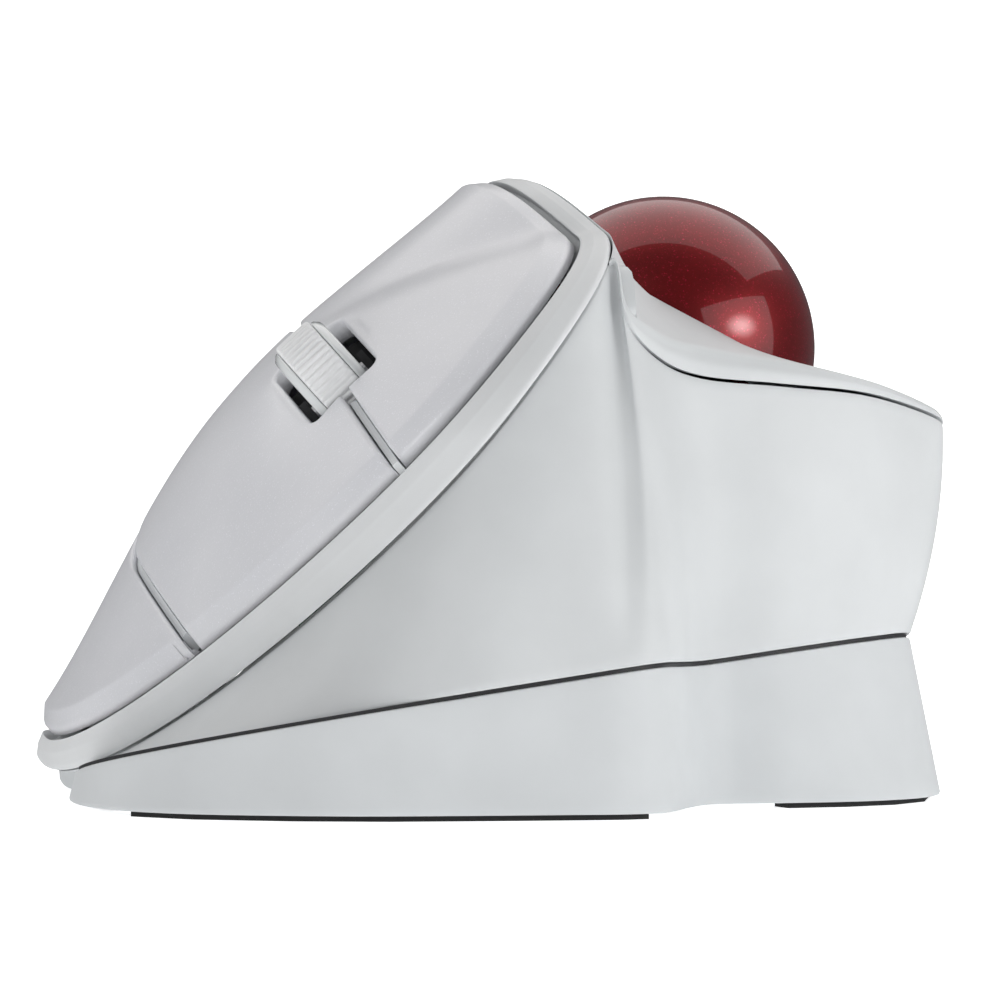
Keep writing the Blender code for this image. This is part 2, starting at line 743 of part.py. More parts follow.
def make_wheel():
    place = wheel_frame()
    half, edge = TYRE_WIDTH / 2, WHEEL_WIDTH / 2
    turned("wheel_tyre", place, [
        (HUB_RADIUS, -half), (WHEEL_RADIUS - 0.5, -half), (WHEEL_RADIUS, -half + 0.5),
        (WHEEL_RADIUS, half - 0.5), (WHEEL_RADIUS - 0.5, half), (HUB_RADIUS, half),
    ], WHEEL_WHITE, 36)
    turned("wheel_hub", place, [
        (AXLE_RADIUS + 0.3, -half), (HUB_RADIUS - 0.3, -half),
        (HUB_RADIUS - 0.3, half), (AXLE_RADIUS + 0.3, half),
    ], DARK, 24)
    for name, side in (("wheel_flange_lower", -1), ("wheel_flange_upper", 1)):
        inner, outer = side * (half + 0.3), side * edge
        turned(name, place, [
            (AXLE_RADIUS + 0.3, inner), (WHEEL_RADIUS - 0.7, inner), (WHEEL_RADIUS - 1.1, outer),
            (AXLE_RADIUS + 0.3, outer),
        ], GLOSS_WHITE, 36)
    rod("wheel_axle", place, AXLE_RADIUS, -ARM_OUTER, ARM_OUTER, STEEL, 16)


CARRIER_LOW, CARRIER_HIGH = -7.4, 8.0


def make_wheel_carrier():
    place = disc_frame(WHEEL_U, WHEEL_V)
    low, high = (-ARM_OUTER, -2.6, CARRIER_LOW), (ARM_OUTER, 2.6, CARRIER_HIGH)
    carrier = box("wheel_carrier", place, low, high, DARK)
    gap = box("carrier_gap", place, (-ARM_INNER, -12, CARRIER_LOW + 1.4), (ARM_INNER, 12, 20), None)
    cut(carrier, gap, rod("axle_hole", wheel_frame(), AXLE_RADIUS + 0.3, -12, 12, None, 16))
    set_origin(carrier, disc_point(WHEEL_U, WHEEL_V, WHEEL_N))


# ---- Switches ----
BOARD_TOP = -9.5
BOARD_THICKNESS = 1.6


def make_switches():
    place = disc_frame(0, 0)
    box("button_board", place, (-9, -36, BOARD_TOP - BOARD_THICKNESS), (27, -15, BOARD_TOP), BOARD)
    for side, (u, v) in (("left", LEFT_POST), ("right", RIGHT_POST)):
        spot = disc_frame(u, v)
        low, high = (-6.4, -2.9, BOARD_TOP + 0.3), (6.4, 2.9, SWITCH_TOP - 0.7)
        body = box("microswitch_" + side, spot, low, high, DARK)
        cut(body, box(side + "_plunger_well", spot, (-1.1, -1.5, SWITCH_TOP - 2.2), (1.1, 1.5, 0), None))
        box("plunger_" + side, spot, (-0.8, -1.2, SWITCH_TOP - 1.4), (0.8, 1.2, SWITCH_TOP), CERAMIC)
    spot = disc_frame(WHEEL_U, WHEEL_V)
    box("wheel_switch", spot, (-2.5, -2.5, BOARD_TOP + 0.3), (2.5, 2.5, CARRIER_LOW - 1.2), DARK)


# ---- Ball, socket and sensor ----
BEARING_RADIUS = 1.25
BEARING_ANGLE = math.radians(52)
CUP_INNER, CUP_OUTER = 17.9, 20.0


def socket_frame():
    return frame_matrix(BALL_CENTRE, SOCKET_SIDE, SOCKET_AXIS)


def make_ball_socket():
    arc = [math.radians(a) for a in (17, 35, 53, 71, 89)]
    profile = [(CUP_OUTER * math.sin(a), -CUP_OUTER * math.cos(a)) for a in arc]
    profile += [(CUP_INNER * math.sin(a), -CUP_INNER * math.cos(a)) for a in reversed(arc)]
    cup = turned("ball_socket", socket_frame(), profile, DARK, 32)
    for i in range(3):
        turn = math.radians(90 + 120 * i)
        reach, drop = math.sin(BEARING_ANGLE), math.cos(BEARING_ANGLE)
        direction = socket_point(turn, reach, -drop) - BALL_CENTRE
        centre = BALL_CENTRE + direction * (BALL_RADIUS + BEARING_RADIUS + 0.08)
        place = frame_matrix(centre, SOCKET_AXIS, direction)
        cut(cup, rod(f"bearing_pocket_{i + 1}", place, BEARING_RADIUS + 0.3, -4, 6, None, 16))
        work = bmesh.new()
        bmesh.ops.create_uvsphere(work, u_segments=16, v_segments=8, radius=BEARING_RADIUS * MM)
        primitive(f"support_bearing_{i + 1}", work, place, CERAMIC)
    work = bmesh.new()
    bmesh.ops.create_uvsphere(work, u_segments=32, v_segments=18, radius=BALL_RADIUS * MM)
    primitive("trackball", work, socket_frame(), BALL_RED)


def make_sensor():
    place = socket_frame()
    rod("sensor_lens", place, 4.6, -20.2, -18.4, LENS, 24)
    box("sensor_chip", place, (-5, -4, -23.2), (5, 4, -20.6), DARK)
    box("sensor_board", place, (-9, -11, -25.1), (9, 11, -23.5), BOARD)


# ---- Underside of the mouse ----
PLATE_LOW, PLATE_HIGH = 0.6, 2.6
DOOR_LOW, DOOR_HIGH = (-9.0, -22.0), (9.0, 22.0)
DOOR_PLACE = (-12.0, 16.0)
DOOR_TRAVEL = 3.0
KNOB_PLACE, KNOB_TRAVEL = (27.0, -18.0), 3.0
SCREW_PLACES = ((-30.0, -12.0), (10.0, -43.0), (37.0, -8.0), (22.0, 42.0))
SCREW_HEAD, SCREW_SHAFT = 2.2, 1.1


def make_screw(name, place, low, length):
    """A pan-head screw pointing up the matrix's z axis from its head's lower face."""
    head, shaft = SCREW_HEAD, SCREW_SHAFT
    tip = low + length
    profile = [(0, low), (head, low), (head, low + 1.1), (shaft, low + 1.4), (shaft, tip - 0.7), (0, tip)]
    turned(name, place, profile, STEEL, 14)


def plate_outline(height):
    """Where the bottom plate's edge runs at this height over the seat: inside the housing, ring and panel."""
    outer, normal = wall_grid()
    inner = outer - normal * (WALL + 1.0)
    outline = []
    for i in range(0, outer.shape[1], 2):
        over = STATIONS[i // STEPS][1]
        line = list(inner[:, i])
        if not is_deck(i):
            after = STATIONS[(i // STEPS + 1) % len(STATIONS)][1]
            after = after if isinstance(after, int) else over
            after = after - 360 if after - over > 180 else after
            angle = math.radians(lerp(over, after, i % STEPS / STEPS))
            line.append(ring_point(angle, 0, 0, 2.2))
            for share in (0.93, 0.8, 0.6, 0.4):
                u, v = oval(angle, PANEL_LENGTH * share, PANEL_FRONT * share, PANEL_REAR * share)
                line.append(disc_point(u, v, crown_height(u, v) - 5.8))
        outline.append(resampled(np.array(line), height + 0.3)[0])
    return outline


def make_bottom_case():
    outlines = [plate_outline(PLATE_LOW), plate_outline(PLATE_HIGH)]
    rows = [lifted(outline, height) for outline, height in zip(outlines, (PLATE_LOW, PLATE_HIGH))]
    plate = closed_loft("bottom_case", rows, SHELL_WHITE)
    door = seat_frame(*DOOR_PLACE)
    gap = 0.4
    low = (DOOR_LOW[0] - gap, DOOR_LOW[1] - gap, -4)
    high = (DOOR_HIGH[0] + gap, DOOR_HIGH[1] + gap + DOOR_TRAVEL, 9)
    cut(plate, box("door_opening", door, low, high, None))
    box("battery_door", door, (*DOOR_LOW, PLATE_LOW), (*DOOR_HIGH, PLATE_HIGH - 0.4), SHELL_WHITE)
    knob = seat_frame(*KNOB_PLACE)
    cut(plate, box("knob_slot", knob, (-2.6, -1.9, -4), (2.6 + KNOB_TRAVEL, 1.9, 9), None))
    box("power_switch_knob", knob, (-2.2, -1.5, PLATE_LOW + 0.3), (2.2, 1.5, PLATE_HIGH + 1.6), DARK)
    box("power_switch", knob, (-4.5, -2.6, PLATE_HIGH + 2.0), (7.5, 2.6, PLATE_HIGH + 5.0), STEEL)
    for i, place in enumerate(SCREW_PLACES):
        spot = seat_frame(*place)
        cut(plate, rod(f"screw_hole_{i + 1}", spot, 2.6, -4, 9, None, 14))
        make_screw(f"case_screw_{i + 1}", spot, PLATE_LOW + 0.2, 8.0)


CELL_RADIUS, CELL_LENGTH = 7.1, 48.5
CELL_HEIGHT = 11.6


def make_battery():
    place = seat_frame(*DOOR_PLACE)
    half = CELL_LENGTH / 2
    along = place @ Matrix.Translation((0, 0, CELL_HEIGHT * MM)) @ Matrix.Rotation(-math.pi / 2, 4, "X")
    turned("battery_cell", along, [
        (0, -half), (CELL_RADIUS, -half), (CELL_RADIUS, half - 1.2),
        (2.7, half - 1.2), (2.7, half), (0, half),
    ], CELL, 24)
    box("battery_contact_front", place, (-6, -half - 2.2, 5), (6, -half - 1.7, 18), STEEL)
    turned("battery_spring", along, [
        (0, -half - 1.4), (4.6, -half - 1.4), (2.6, -half - 0.3), (0, -half - 0.3)], STEEL, 16)
    box("battery_contact_rear", place, (-6, half + 0.4, 5), (6, half + 0.9, 18), STEEL)
    cradle = box("battery_cradle", place, (-9.6, -half + 3, PLATE_HIGH + 0.5), (9.6, half - 3, 11.0), DARK)
    bore = rod("cradle_bore", along, CELL_RADIUS + 0.5, -40, 40, None, 24)
    window = box("cradle_window", place, (-5.5, -14, 0), (5.5, 14, 9), None)
    cut(cradle, bore, window)


def make_main_board():
    place = seat_frame(-12, -28)
    box("main_board", place, (-10, -7, 5.4), (18, 9, 7.0), BOARD)
    box("radio_chip", place, (-4, -5, 7.3), (4, 3, 8.4), DARK)


MAGNET_PLACES = ((14.0, -18.0), (14.0, 22.0))


def make_steel_plates():
    for side, spot in zip(("front", "rear"), MAGNET_PLACES):
        low, high = (-5, -5, PLATE_HIGH + 0.4), (5, 5, PLATE_HIGH + 1.4)
        box("steel_plate_" + side, seat_frame(*spot), low, high, STEEL)


# ---- Wedge stand ----
BASE_BOTTOM = 0.6
LEAST_SEAT = 2.7
LEAST_CAVITY = 4.8
FLARE_LEAST, FLARE_MOST = 0.6, 3.3
STAND_WALL = 2.2


def flare(x):
    """How far the stand's wall leans out towards the table: most on the thumb side."""
    share = min(1.0, max(0.0, (x - 22) / 22))
    return lerp(FLARE_LEAST, FLARE_MOST, share * share * (3 - 2 * share))


def stand_outlines():
    """The stand's upper outline on the seat plane, and its outline at the table."""
    upper = clip_low(FOOT[::2], LEAST_SEAT)
    flared = []
    for here, moved in zip(upper, inset(upper, -1.0)):
        flared.append(here + (moved - here) * flare(here[0]))
    return upper, at_height(flared, BASE_BOTTOM)


def make_wedge_base():
    upper, ground = stand_outlines()
    cavity_top = clip_low(inset(upper, STAND_WALL), LEAST_CAVITY)
    cavity_foot = at_height(inset(cavity_top, -0.2), BASE_BOTTOM)
    rows = [
        lifted(cavity_top, -STAND_WALL), cavity_foot, ground, at_height(ground, BASE_BOTTOM + 0.5),
        lifted(upper, -0.4), lifted(inset(upper, 0.5), 0),
    ]
    closed_loft("wedge_base", rows, SHELL_WHITE)
    plate = inset(clip_low(inset(upper, STAND_WALL), LEAST_CAVITY + 0.3), 0.5)
    lid = closed_loft("base_bottom_plate", [at_height(plate, z) for z in (BASE_BOTTOM, 2.0)], SHELL_WHITE)
    for i, (x, y) in enumerate(BASE_SCREW_PLACES):
        spot = frame_matrix((x, y, 0), (1, 0, 0), (0, 0, 1))
        cut(lid, rod(f"base_screw_hole_{i + 1}", spot, 2.6, -4, 9, None, 14))
        make_screw(f"base_screw_{i + 1}", spot, BASE_BOTTOM + 0.2, 5.2)
    return ground


BASE_SCREW_PLACES = ((28.0, 2.0), (4.0, -38.0), (16.0, 40.0))
MAGNET_RADIUS, MAGNET_HEIGHT = 4.8, 2.0
# Foot pads: name, first and last point of the table outline, distances in from the wall.
FOOT_PADS = (
    ("foot_pad_front", 5, 13, 1.2, 4.6),
    ("foot_pad_thumb_side", 18, 23, 1.2, 5.2),
    ("foot_pad_rear", 29, 34, 1.4, 5.0),
    ("foot_pad_palm_side", 37, 40, 1.0, 3.4),
)


def make_foot_pads(ground):
    for name, first, last, near, far in FOOT_PADS:
        outer, inner = inset(ground, near), inset(ground, far)
        rows = []
        for i in range(first, last + 1):
            k = i % len(ground)
            low_outer, low_inner = outer[k] * [1, 1, 0], inner[k] * [1, 1, 0]
            up = np.array([0.0, 0.0, BASE_BOTTOM - 0.08])
            rows.append([low_outer, low_inner, low_inner + up, low_outer + up])
        closed_loft(name, rows, RUBBER)


def make_magnets():
    for side, spot in zip(("front", "rear"), MAGNET_PLACES):
        low = -STAND_WALL - 0.4 - MAGNET_HEIGHT
        rod("stand_magnet_" + side, seat_frame(*spot), MAGNET_RADIUS, low, low + MAGNET_HEIGHT, STEEL, 20)


make_bezel_ring()
make_main_housing()
make_thumb_deck()
make_buttons()
make_palm_cover()
make_button_frame()
make_wheel()
make_wheel_carrier()
make_switches()
make_ball_socket()
make_sensor()
make_bottom_case()
make_battery()
make_main_board()
make_steel_plates()
make_foot_pads(make_wedge_base())
make_magnets()
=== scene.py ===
"""Looks of the thumb trackball mouse on its wedge stand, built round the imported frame.

Shapes are worked out in millimetres in the design frame (+X to the thumb side, -Y to the front) and
moved into the frame's metres by place().
"""

import json
import math

import bmesh
import bpy
import numpy as np
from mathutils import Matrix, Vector
from mathutils.geometry import delaunay_2d_cdt


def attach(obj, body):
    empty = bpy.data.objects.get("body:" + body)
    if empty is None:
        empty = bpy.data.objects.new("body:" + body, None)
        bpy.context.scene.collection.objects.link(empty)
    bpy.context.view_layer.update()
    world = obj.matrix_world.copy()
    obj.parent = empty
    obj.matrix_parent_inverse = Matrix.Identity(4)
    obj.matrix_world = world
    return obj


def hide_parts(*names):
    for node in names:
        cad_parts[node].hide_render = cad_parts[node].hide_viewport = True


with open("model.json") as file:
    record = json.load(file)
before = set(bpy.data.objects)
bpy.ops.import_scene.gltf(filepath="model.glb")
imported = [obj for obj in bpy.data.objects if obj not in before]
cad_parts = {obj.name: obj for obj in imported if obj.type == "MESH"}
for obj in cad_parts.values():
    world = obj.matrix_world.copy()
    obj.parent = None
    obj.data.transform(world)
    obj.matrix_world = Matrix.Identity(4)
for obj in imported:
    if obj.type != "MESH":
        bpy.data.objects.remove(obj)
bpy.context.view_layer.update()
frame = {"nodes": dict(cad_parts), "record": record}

MM = 0.001
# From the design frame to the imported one, whose origin is under the middle of the box.
SHIFT = np.array([1.95, -1.4, 0.0])

# ---- Driving sizes of the part ----
# The finger panel is a skewed disc: u runs up its slope, v to the front and n out of it.
DISC_CENTRE = np.array([-21.0, -2.0, 32.9])
DISC_SLOPE = math.radians(42.4)
DISC_SKEW = 0.43
RIM_LENGTH, RIM_FRONT, RIM_REAR = 41.0, 40.5, 55.5
RIM_WIDTH = 2.4
PANEL_LENGTH, PANEL_FRONT, PANEL_REAR = 40.1, 39.3, 54.2
PANEL_LIFT = 2.2
CROWN = 11.5
BUTTON_SPLIT_U, BUTTON_SPLIT_SLANT = 10.0, 0.07
PALM_CENTRE_U, PALM_CENTRE_V, PALM_RADIUS = 1.7, 8.0, 21.0
PALM_SPLIT_U, PALM_SPLIT_V, PALM_SPLIT_SLANT = -19.3, -13.0, 0.89
HALF_GAP = 0.55
WHEEL_U, WHEEL_V, WHEEL_N = 10.9, 14.4, 5.9
WHEEL_RADIUS = 8.5
TYRE_WIDTH, WHEEL_WIDTH = 4.7, 6.8
SLOT_WIDTH, SLOT_LENGTH = 9.7, 17.2
BALL_CENTRE = np.array([18.3, 2.0, 50.05])
BALL_RADIUS = 17.0
SOCKET_TILT = math.radians(28.0)
SOCKET_AXIS = np.array([math.sin(SOCKET_TILT), 0.0, math.cos(SOCKET_TILT)])
SOCKET_SIDE = np.array([math.cos(SOCKET_TILT), 0.0, -math.sin(SOCKET_TILT)])
OPENING_HEIGHT, BALL_GAP = 3.8, 0.5
SEAT_HEIGHT, SEAT_SIDE_SLOPE, SEAT_FRONT_SLOPE = 9.8, 0.165, -0.064
SEAT_GAP, PARTING_GAP = 0.45, 0.35

SLOPE_COS, SLOPE_SIN = math.cos(DISC_SLOPE), math.sin(DISC_SLOPE)
SLOPE_DIRECTION = np.array([SLOPE_COS, 0.0, SLOPE_SIN])
DISC_NORMAL = np.array([-SLOPE_SIN, 0.0, SLOPE_COS])


# ---- Shape functions of the part ----
def seat_height(x, y):
    return SEAT_HEIGHT + SEAT_SIDE_SLOPE * x + SEAT_FRONT_SLOPE * y


def disc_point(u, v, n):
    x, y, z = DISC_CENTRE
    return np.array([
        x + u * SLOPE_COS - n * SLOPE_SIN, y - DISC_SKEW * u - v, z + u * SLOPE_SIN + n * SLOPE_COS])


def disc_coordinates(point):
    x, y, z = point - DISC_CENTRE
    u, n = x * SLOPE_COS + z * SLOPE_SIN, z * SLOPE_COS - x * SLOPE_SIN
    return u, -y - DISC_SKEW * u, n


def corner_power(a, b):
    if a <= 0:
        return 2.0
    corner = -0.22 if b > 0 else 0.85
    return 2.0 + corner * (2 * a * b / (a * a + b * b)) ** 2


def oval(angle, length, front, rear):
    a, b = math.cos(angle), math.sin(angle)
    power = corner_power(a, b)
    radius = (abs(a) ** power + abs(b) ** power) ** (-1 / power)
    return length * radius * a, (front if b > 0 else rear) * radius * b


def oval_share(u, v, length, front, rear):
    a, b = u / length, v / (front if v > 0 else rear)
    power = corner_power(a, b)
    return (abs(a) ** power + abs(b) ** power) ** (1 / power)


def rim_height(u, v):
    if v >= 0:
        return 1.6 - 0.17 * v
    back = -v
    upper = min(1.0, max(0.0, (u + 12) / 24))
    upper = upper * upper * (3 - 2 * upper)
    end_rise = 3.46 * (max(0.0, u) / 30) ** 2 * back**2 / (back**2 + 80)
    droop = (0.0036 + 0.0045 * upper) * back**2
    lean = 0.4 if u > 0 else 0.32
    return 1.6 + 0.17 * back - droop + lean * (u / 42) * back**2 / (back + 6) + end_rise


def crown_height(u, v):
    share = min(1.0, oval_share(u, v, PANEL_LENGTH, PANEL_FRONT, PANEL_REAR))
    fade = 1 - 0.62 * (max(0.0, 15 - u) / 57) ** 1.6
    return rim_height(u, v) + PANEL_LIFT + CROWN * fade * (1 - share**2) ** 1.1


def ring_point(angle, outwards, down, sink=0.0):
    share = outwards / RIM_WIDTH
    u, v = oval(angle, RIM_LENGTH + outwards, RIM_FRONT + 1.5 * share, RIM_REAR + 2.5 * share)
    inner_u, inner_v = oval(angle, RIM_LENGTH, RIM_FRONT, RIM_REAR)
    lean = math.sin(angle)
    drop = 1.4 + (2.4 * lean if lean > 0 else -1.1 * lean)
    return disc_point(u, v, rim_height(inner_u, inner_v) - drop * down - sink)


def ease(values, count):
    points = [np.array(value, float) for value in values]
    total = len(points)
    made = []
    for i in range(total):
        a, b, c, d = (points[(i + k) % total] for k in (-1, 0, 1, 2))
        for step in range(count):
            t = step / count
            made.append(0.5 * (2 * b + (c - a) * t + (2 * a - 5 * b + 4 * c - d) * t**2
                               + (3 * b - a - 3 * c + d) * t**3))
    return made


RING_TO_DECK, DECK_TO_RING = 17, -48
STATIONS = [
    ((-45.5, 14.0), 180), ((-46.0, -8.0), 165), ((-45.6, -26.0), 150), ((-41.5, -41.0), 134),
    ((-32.0, -51.0), 116), ((-16.0, -55.4), 98), ((-3.0, -54.4), 74), ((6.5, -52.9), 48),
    ((13.0, -51.6), RING_TO_DECK),
    ((17.0, -48.4), (13.2, -36.0, 52.1)), ((19.6, -39.0), (16.6, -34.5, 48.0)),
    ((22.6, -31.8), (21.5, -32.0, 45.9)), ((30.6, -28.0), (30.5, -28.4, 45.1)),
    ((39.0, -22.4), (40.0, -22.0, 44.2)), ((44.4, -14.0), (48.0, -12.0, 41.9)),
    ((45.6, 0.0), (49.2, 2.0, 40.6)), ((45.2, 16.0), (48.6, 18.0, 41.0)),
    ((42.0, 32.0), (44.5, 34.0, 42.6)), ((33.5, 45.0), (35.0, 45.5, 44.6)),
    ((21.0, 53.0), (22.5, 50.0, 47.4)), ((10.0, 56.6), (10.5, 49.0, 51.5)),
    ((1.0, 57.8), DECK_TO_RING),
    ((-8.0, 58.0), -66), ((-19.0, 56.6), -88), ((-29.5, 52.0), -110), ((-38.5, 42.0), -133),
    ((-43.5, 28.0), -157),
]
HOUSING_FEET = {1: (-46.8, 1.0), 2: (-43.6, -9.5), 3: (-38.6, -26.0), 4: (-30.0, -43.0), 5: (-16.0, -53.2)}
FIRST_DECK, LAST_DECK = 9, 20
STEPS = 9


def seam_point(angle):
    return ring_point(math.radians(angle), RIM_WIDTH - 0.3, 1.0, 0.95)


def station_tops():
    total = len(STATIONS)
    corner = [seam_point(over) if isinstance(over, int) else np.array(over) for _, over in STATIONS]
    smooth = ease(corner, STEPS)
    tops = []
    for i in range(total):
        over, after = STATIONS[i][1], STATIONS[(i + 1) % total][1]
        for step in range(STEPS):
            if isinstance(over, int) and isinstance(after, int):
                end = after - 360 if after - over > 180 else after
                tops.append(seam_point(over + (end - over) * step / STEPS))
            else:
                tops.append(smooth[i * STEPS + step])
    return tops


def lerp(a, b, t):
    return a + (b - a) * t


def lifted(loop, height):
    return [np.array([p[0], p[1], seat_height(p[0], p[1]) + height]) for p in loop]


def inset(loop, distance):
    moved = []
    total = len(loop)
    for i in range(total):
        along = (loop[(i + 1) % total] - loop[i - 1])[:2]
        along = along / np.linalg.norm(along)
        moved.append(loop[i] + np.array([-along[1], along[0], 0.0]) * distance)
    return moved


TOPS = station_tops()


# ---- Mesh helpers ----
def place(point):
    return Vector((np.asarray(point, float) + SHIFT) * MM)


def show(name, points, faces, material, body, nodes=(), sharp=None):
    """Makes a piece of the visual model from millimetre points, and says what it rides on and stands for."""
    mesh = bpy.data.meshes.new(name)
    mesh.from_pydata([place(point) for point in points], [], faces)
    work = bmesh.new()
    work.from_mesh(mesh)
    bmesh.ops.remove_doubles(work, verts=work.verts, dist=1e-7)
    bmesh.ops.recalc_face_normals(work, faces=work.faces)
    work.to_mesh(mesh)
    work.free()
    mesh.shade_smooth()
    if sharp is not None:
        mesh.set_sharp_from_angle(angle=math.radians(sharp))
    piece = bpy.data.objects.new(name, mesh)
    bpy.context.scene.collection.objects.link(piece)
    piece.data.materials.append(material)
    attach(piece, body)
    if nodes:
        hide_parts(*nodes)
    return piece


def rows_mesh(rows, close_rows=False, caps=False):
    """Quads between closed rows of equal length."""
    count = len(rows[0])
    points = [point for row in rows for point in row]
    faces = []
    for r in range(len(rows) if close_rows else len(rows) - 1):
        low, high = r * count, (r + 1) % len(rows) * count
        for i in range(count):
            j = (i + 1) % count
            faces.append((low + i, low + j, high + j, high + i))
    if caps:
        faces.append(tuple(range(count)))
        faces.append(tuple(range((len(rows) - 1) * count, len(rows) * count)))
    return points, faces


def spline_rows(rows, count):
    """Rows with smooth rows put between them, through the same points."""
    rows = [np.array(row) for row in rows]
    made = []
    for i in range(len(rows) - 1):
        a, b, c, d = (rows[min(max(i + k, 0), len(rows) - 1)] for k in (-1, 0, 1, 2))
        for step in range(count):
            t = step / count
            made.append(0.5 * (2 * b + (c - a) * t + (2 * a - 5 * b + 4 * c - d) * t**2
                               + (3 * b - a - 3 * c + d) * t**3))
    made.append(rows[-1])
    return made


# ---- Materials ----
class Nodes:
    """A Principled material with its procedural inputs."""

    def __init__(self, name, roughness, metallic=0.0, **constants):
        self.material = bpy.data.materials.new(name)
        self.material.use_nodes = True
        self.tree = self.material.node_tree
        self.shader = self.tree.nodes["Principled BSDF"]
        self.shader.inputs["Roughness"].default_value = roughness
        self.shader.inputs["Metallic"].default_value = metallic
        for key, value in constants.items():
            self.shader.inputs[key.replace("_", " ")].default_value = value
        self.where = self.tree.nodes.new("ShaderNodeTexCoord").outputs["Object"]

    def add(self, kind, **settings):
        node = self.tree.nodes.new(kind)
        for key, value in settings.items():
            setattr(node, key, value)
        return node

    def link(self, source, target):
        self.tree.links.new(source, target)

    def noise(self, scale, detail=2.0, roughness=0.5):
        node = self.add("ShaderNodeTexNoise")
        self.link(self.where, node.inputs["Vector"])
        node.inputs["Scale"].default_value = scale
        node.inputs["Detail"].default_value = detail
        node.inputs["Roughness"].default_value = roughness
        return node.outputs["Fac"]

    def cells(self, scale):
        node = self.add("ShaderNodeTexVoronoi")
        self.link(self.where, node.inputs["Vector"])
        node.inputs["Scale"].default_value = scale
        return node

    def ramp(self, source, low, high, colours):
        node = self.add("ShaderNodeValToRGB")
        node.color_ramp.elements[0].position = low
        node.color_ramp.elements[1].position = high
        for element, colour in zip(node.color_ramp.elements, colours):
            element.color = (*colour, 1)
        self.link(source, node.inputs["Fac"])
        return node.outputs["Color"]

    def blend(self, share, first, second):
        node = self.add("ShaderNodeMix", data_type="RGBA")
        share_socket, first_socket, second_socket = node.inputs[0], node.inputs[6], node.inputs[7]
        self.link(share, share_socket)
        for socket, value in ((first_socket, first), (second_socket, second)):
            if isinstance(value, tuple):
                socket.default_value = (*value, 1)
            else:
                self.link(value, socket)
        colour_output = node.outputs[2]
        return colour_output

    def spread(self, source, low, high):
        node = self.add("ShaderNodeMapRange")
        self.link(source, node.inputs["Value"])
        node.inputs["To Min"].default_value = low
        node.inputs["To Max"].default_value = high
        return node.outputs["Result"]

    def edges(self):
        """1 on convex edges and 0 elsewhere."""
        pointed = self.add("ShaderNodeNewGeometry").outputs["Pointiness"]
        return self.ramp(pointed, 0.52, 0.62, ((0, 0, 0), (1, 1, 1)))

    def colour(self, source):
        self.link(source, self.shader.inputs["Base Color"])

    def rough(self, source):
        self.link(source, self.shader.inputs["Roughness"])

    def bump(self, source, distance, strength=1.0):
        node = self.add("ShaderNodeBump")
        node.inputs["Distance"].default_value = distance
        node.inputs["Strength"].default_value = strength
        self.link(source, node.inputs["Height"])
        self.link(node.outputs["Normal"], self.shader.inputs["Normal"])


def moulded(name, colour, roughness, grain=2600.0, depth=4e-6, vary=0.025, edge_lift=0.03, **constants):
    """Moulded plastic: soft mottling, fine spark-eroded grain and convex edges coloured a little lighter."""
    made = Nodes(name, roughness, **constants)
    darker = tuple(c * (1 - vary) for c in colour)
    lighter = tuple(min(1.0, c * (1 + vary)) for c in colour)
    mottle = made.ramp(made.noise(90.0, 3.0), 0.35, 0.65, (darker, lighter))
    # Convex edges are coloured a little lighter than the rest.
    lighter_edge = tuple(min(1.0, c * (1 + edge_lift) + edge_lift * 0.2) for c in colour)
    made.colour(made.blend(made.edges(), mottle, lighter_edge))
    made.rough(made.spread(made.noise(700.0, 4.0), roughness - 0.05, roughness + 0.05))
    made.bump(made.noise(grain, 3.0, 0.6), depth)
    return made.material


def pearl(name):
    """Pearl plastic: a cool white with a scatter of fine bright flakes under a soft coat, with its convex
    edges painted lighter as a highlight.
    """
    made = Nodes(name, 0.33, Coat_Weight=0.35, Coat_Roughness=0.22, Specular_IOR_Level=0.5)
    flake = made.cells(9000.0)
    sparkle = made.ramp(flake.outputs["Color"], 0.80, 0.97, ((0, 0, 0), (1, 1, 1)))
    base = made.ramp(made.noise(70.0, 3.0), 0.35, 0.65, ((0.735, 0.742, 0.775), (0.770, 0.776, 0.805)))
    tinted = made.blend(sparkle, base, (0.93, 0.93, 0.98))
    # Convex edges painted lighter: a painted highlight on the bevel crests.
    made.colour(made.blend(made.edges(), tinted, (0.88, 0.88, 0.91)))
    made.rough(made.spread(flake.outputs["Distance"], 0.26, 0.42))
    made.bump(made.noise(5200.0, 2.0), 2.5e-6)
    return made.material


def ball_material():
    """Clear-coated red with metal flakes of two sizes that catch the light one by one."""
    made = Nodes("ball_red", 0.34, metallic=0.62, Coat_Weight=0.8, Coat_Roughness=0.02, Coat_IOR=1.5)
    flake = made.cells(8200.0)
    fine = made.cells(15000.0)
    lit = made.ramp(flake.outputs["Color"], 0.80, 0.99, ((0, 0, 0), (0.8, 0.8, 0.8)))
    dust = made.ramp(fine.outputs["Color"], 0.66, 0.98, ((0, 0, 0), (0.4, 0.4, 0.4)))
    deep = made.ramp(made.noise(160.0, 3.0), 0.3, 0.7, ((0.175, 0.0010, 0.0022), (0.225, 0.0016, 0.0034)))
    dusted = made.blend(dust, deep, (0.42, 0.006, 0.016))
    made.colour(made.blend(lit, dusted, (0.80, 0.02, 0.075)))
    made.rough(made.spread(flake.outputs["Distance"], 0.28, 0.44))
    made.bump(flake.outputs["Color"], 8e-6, 0.25)
    return made.material


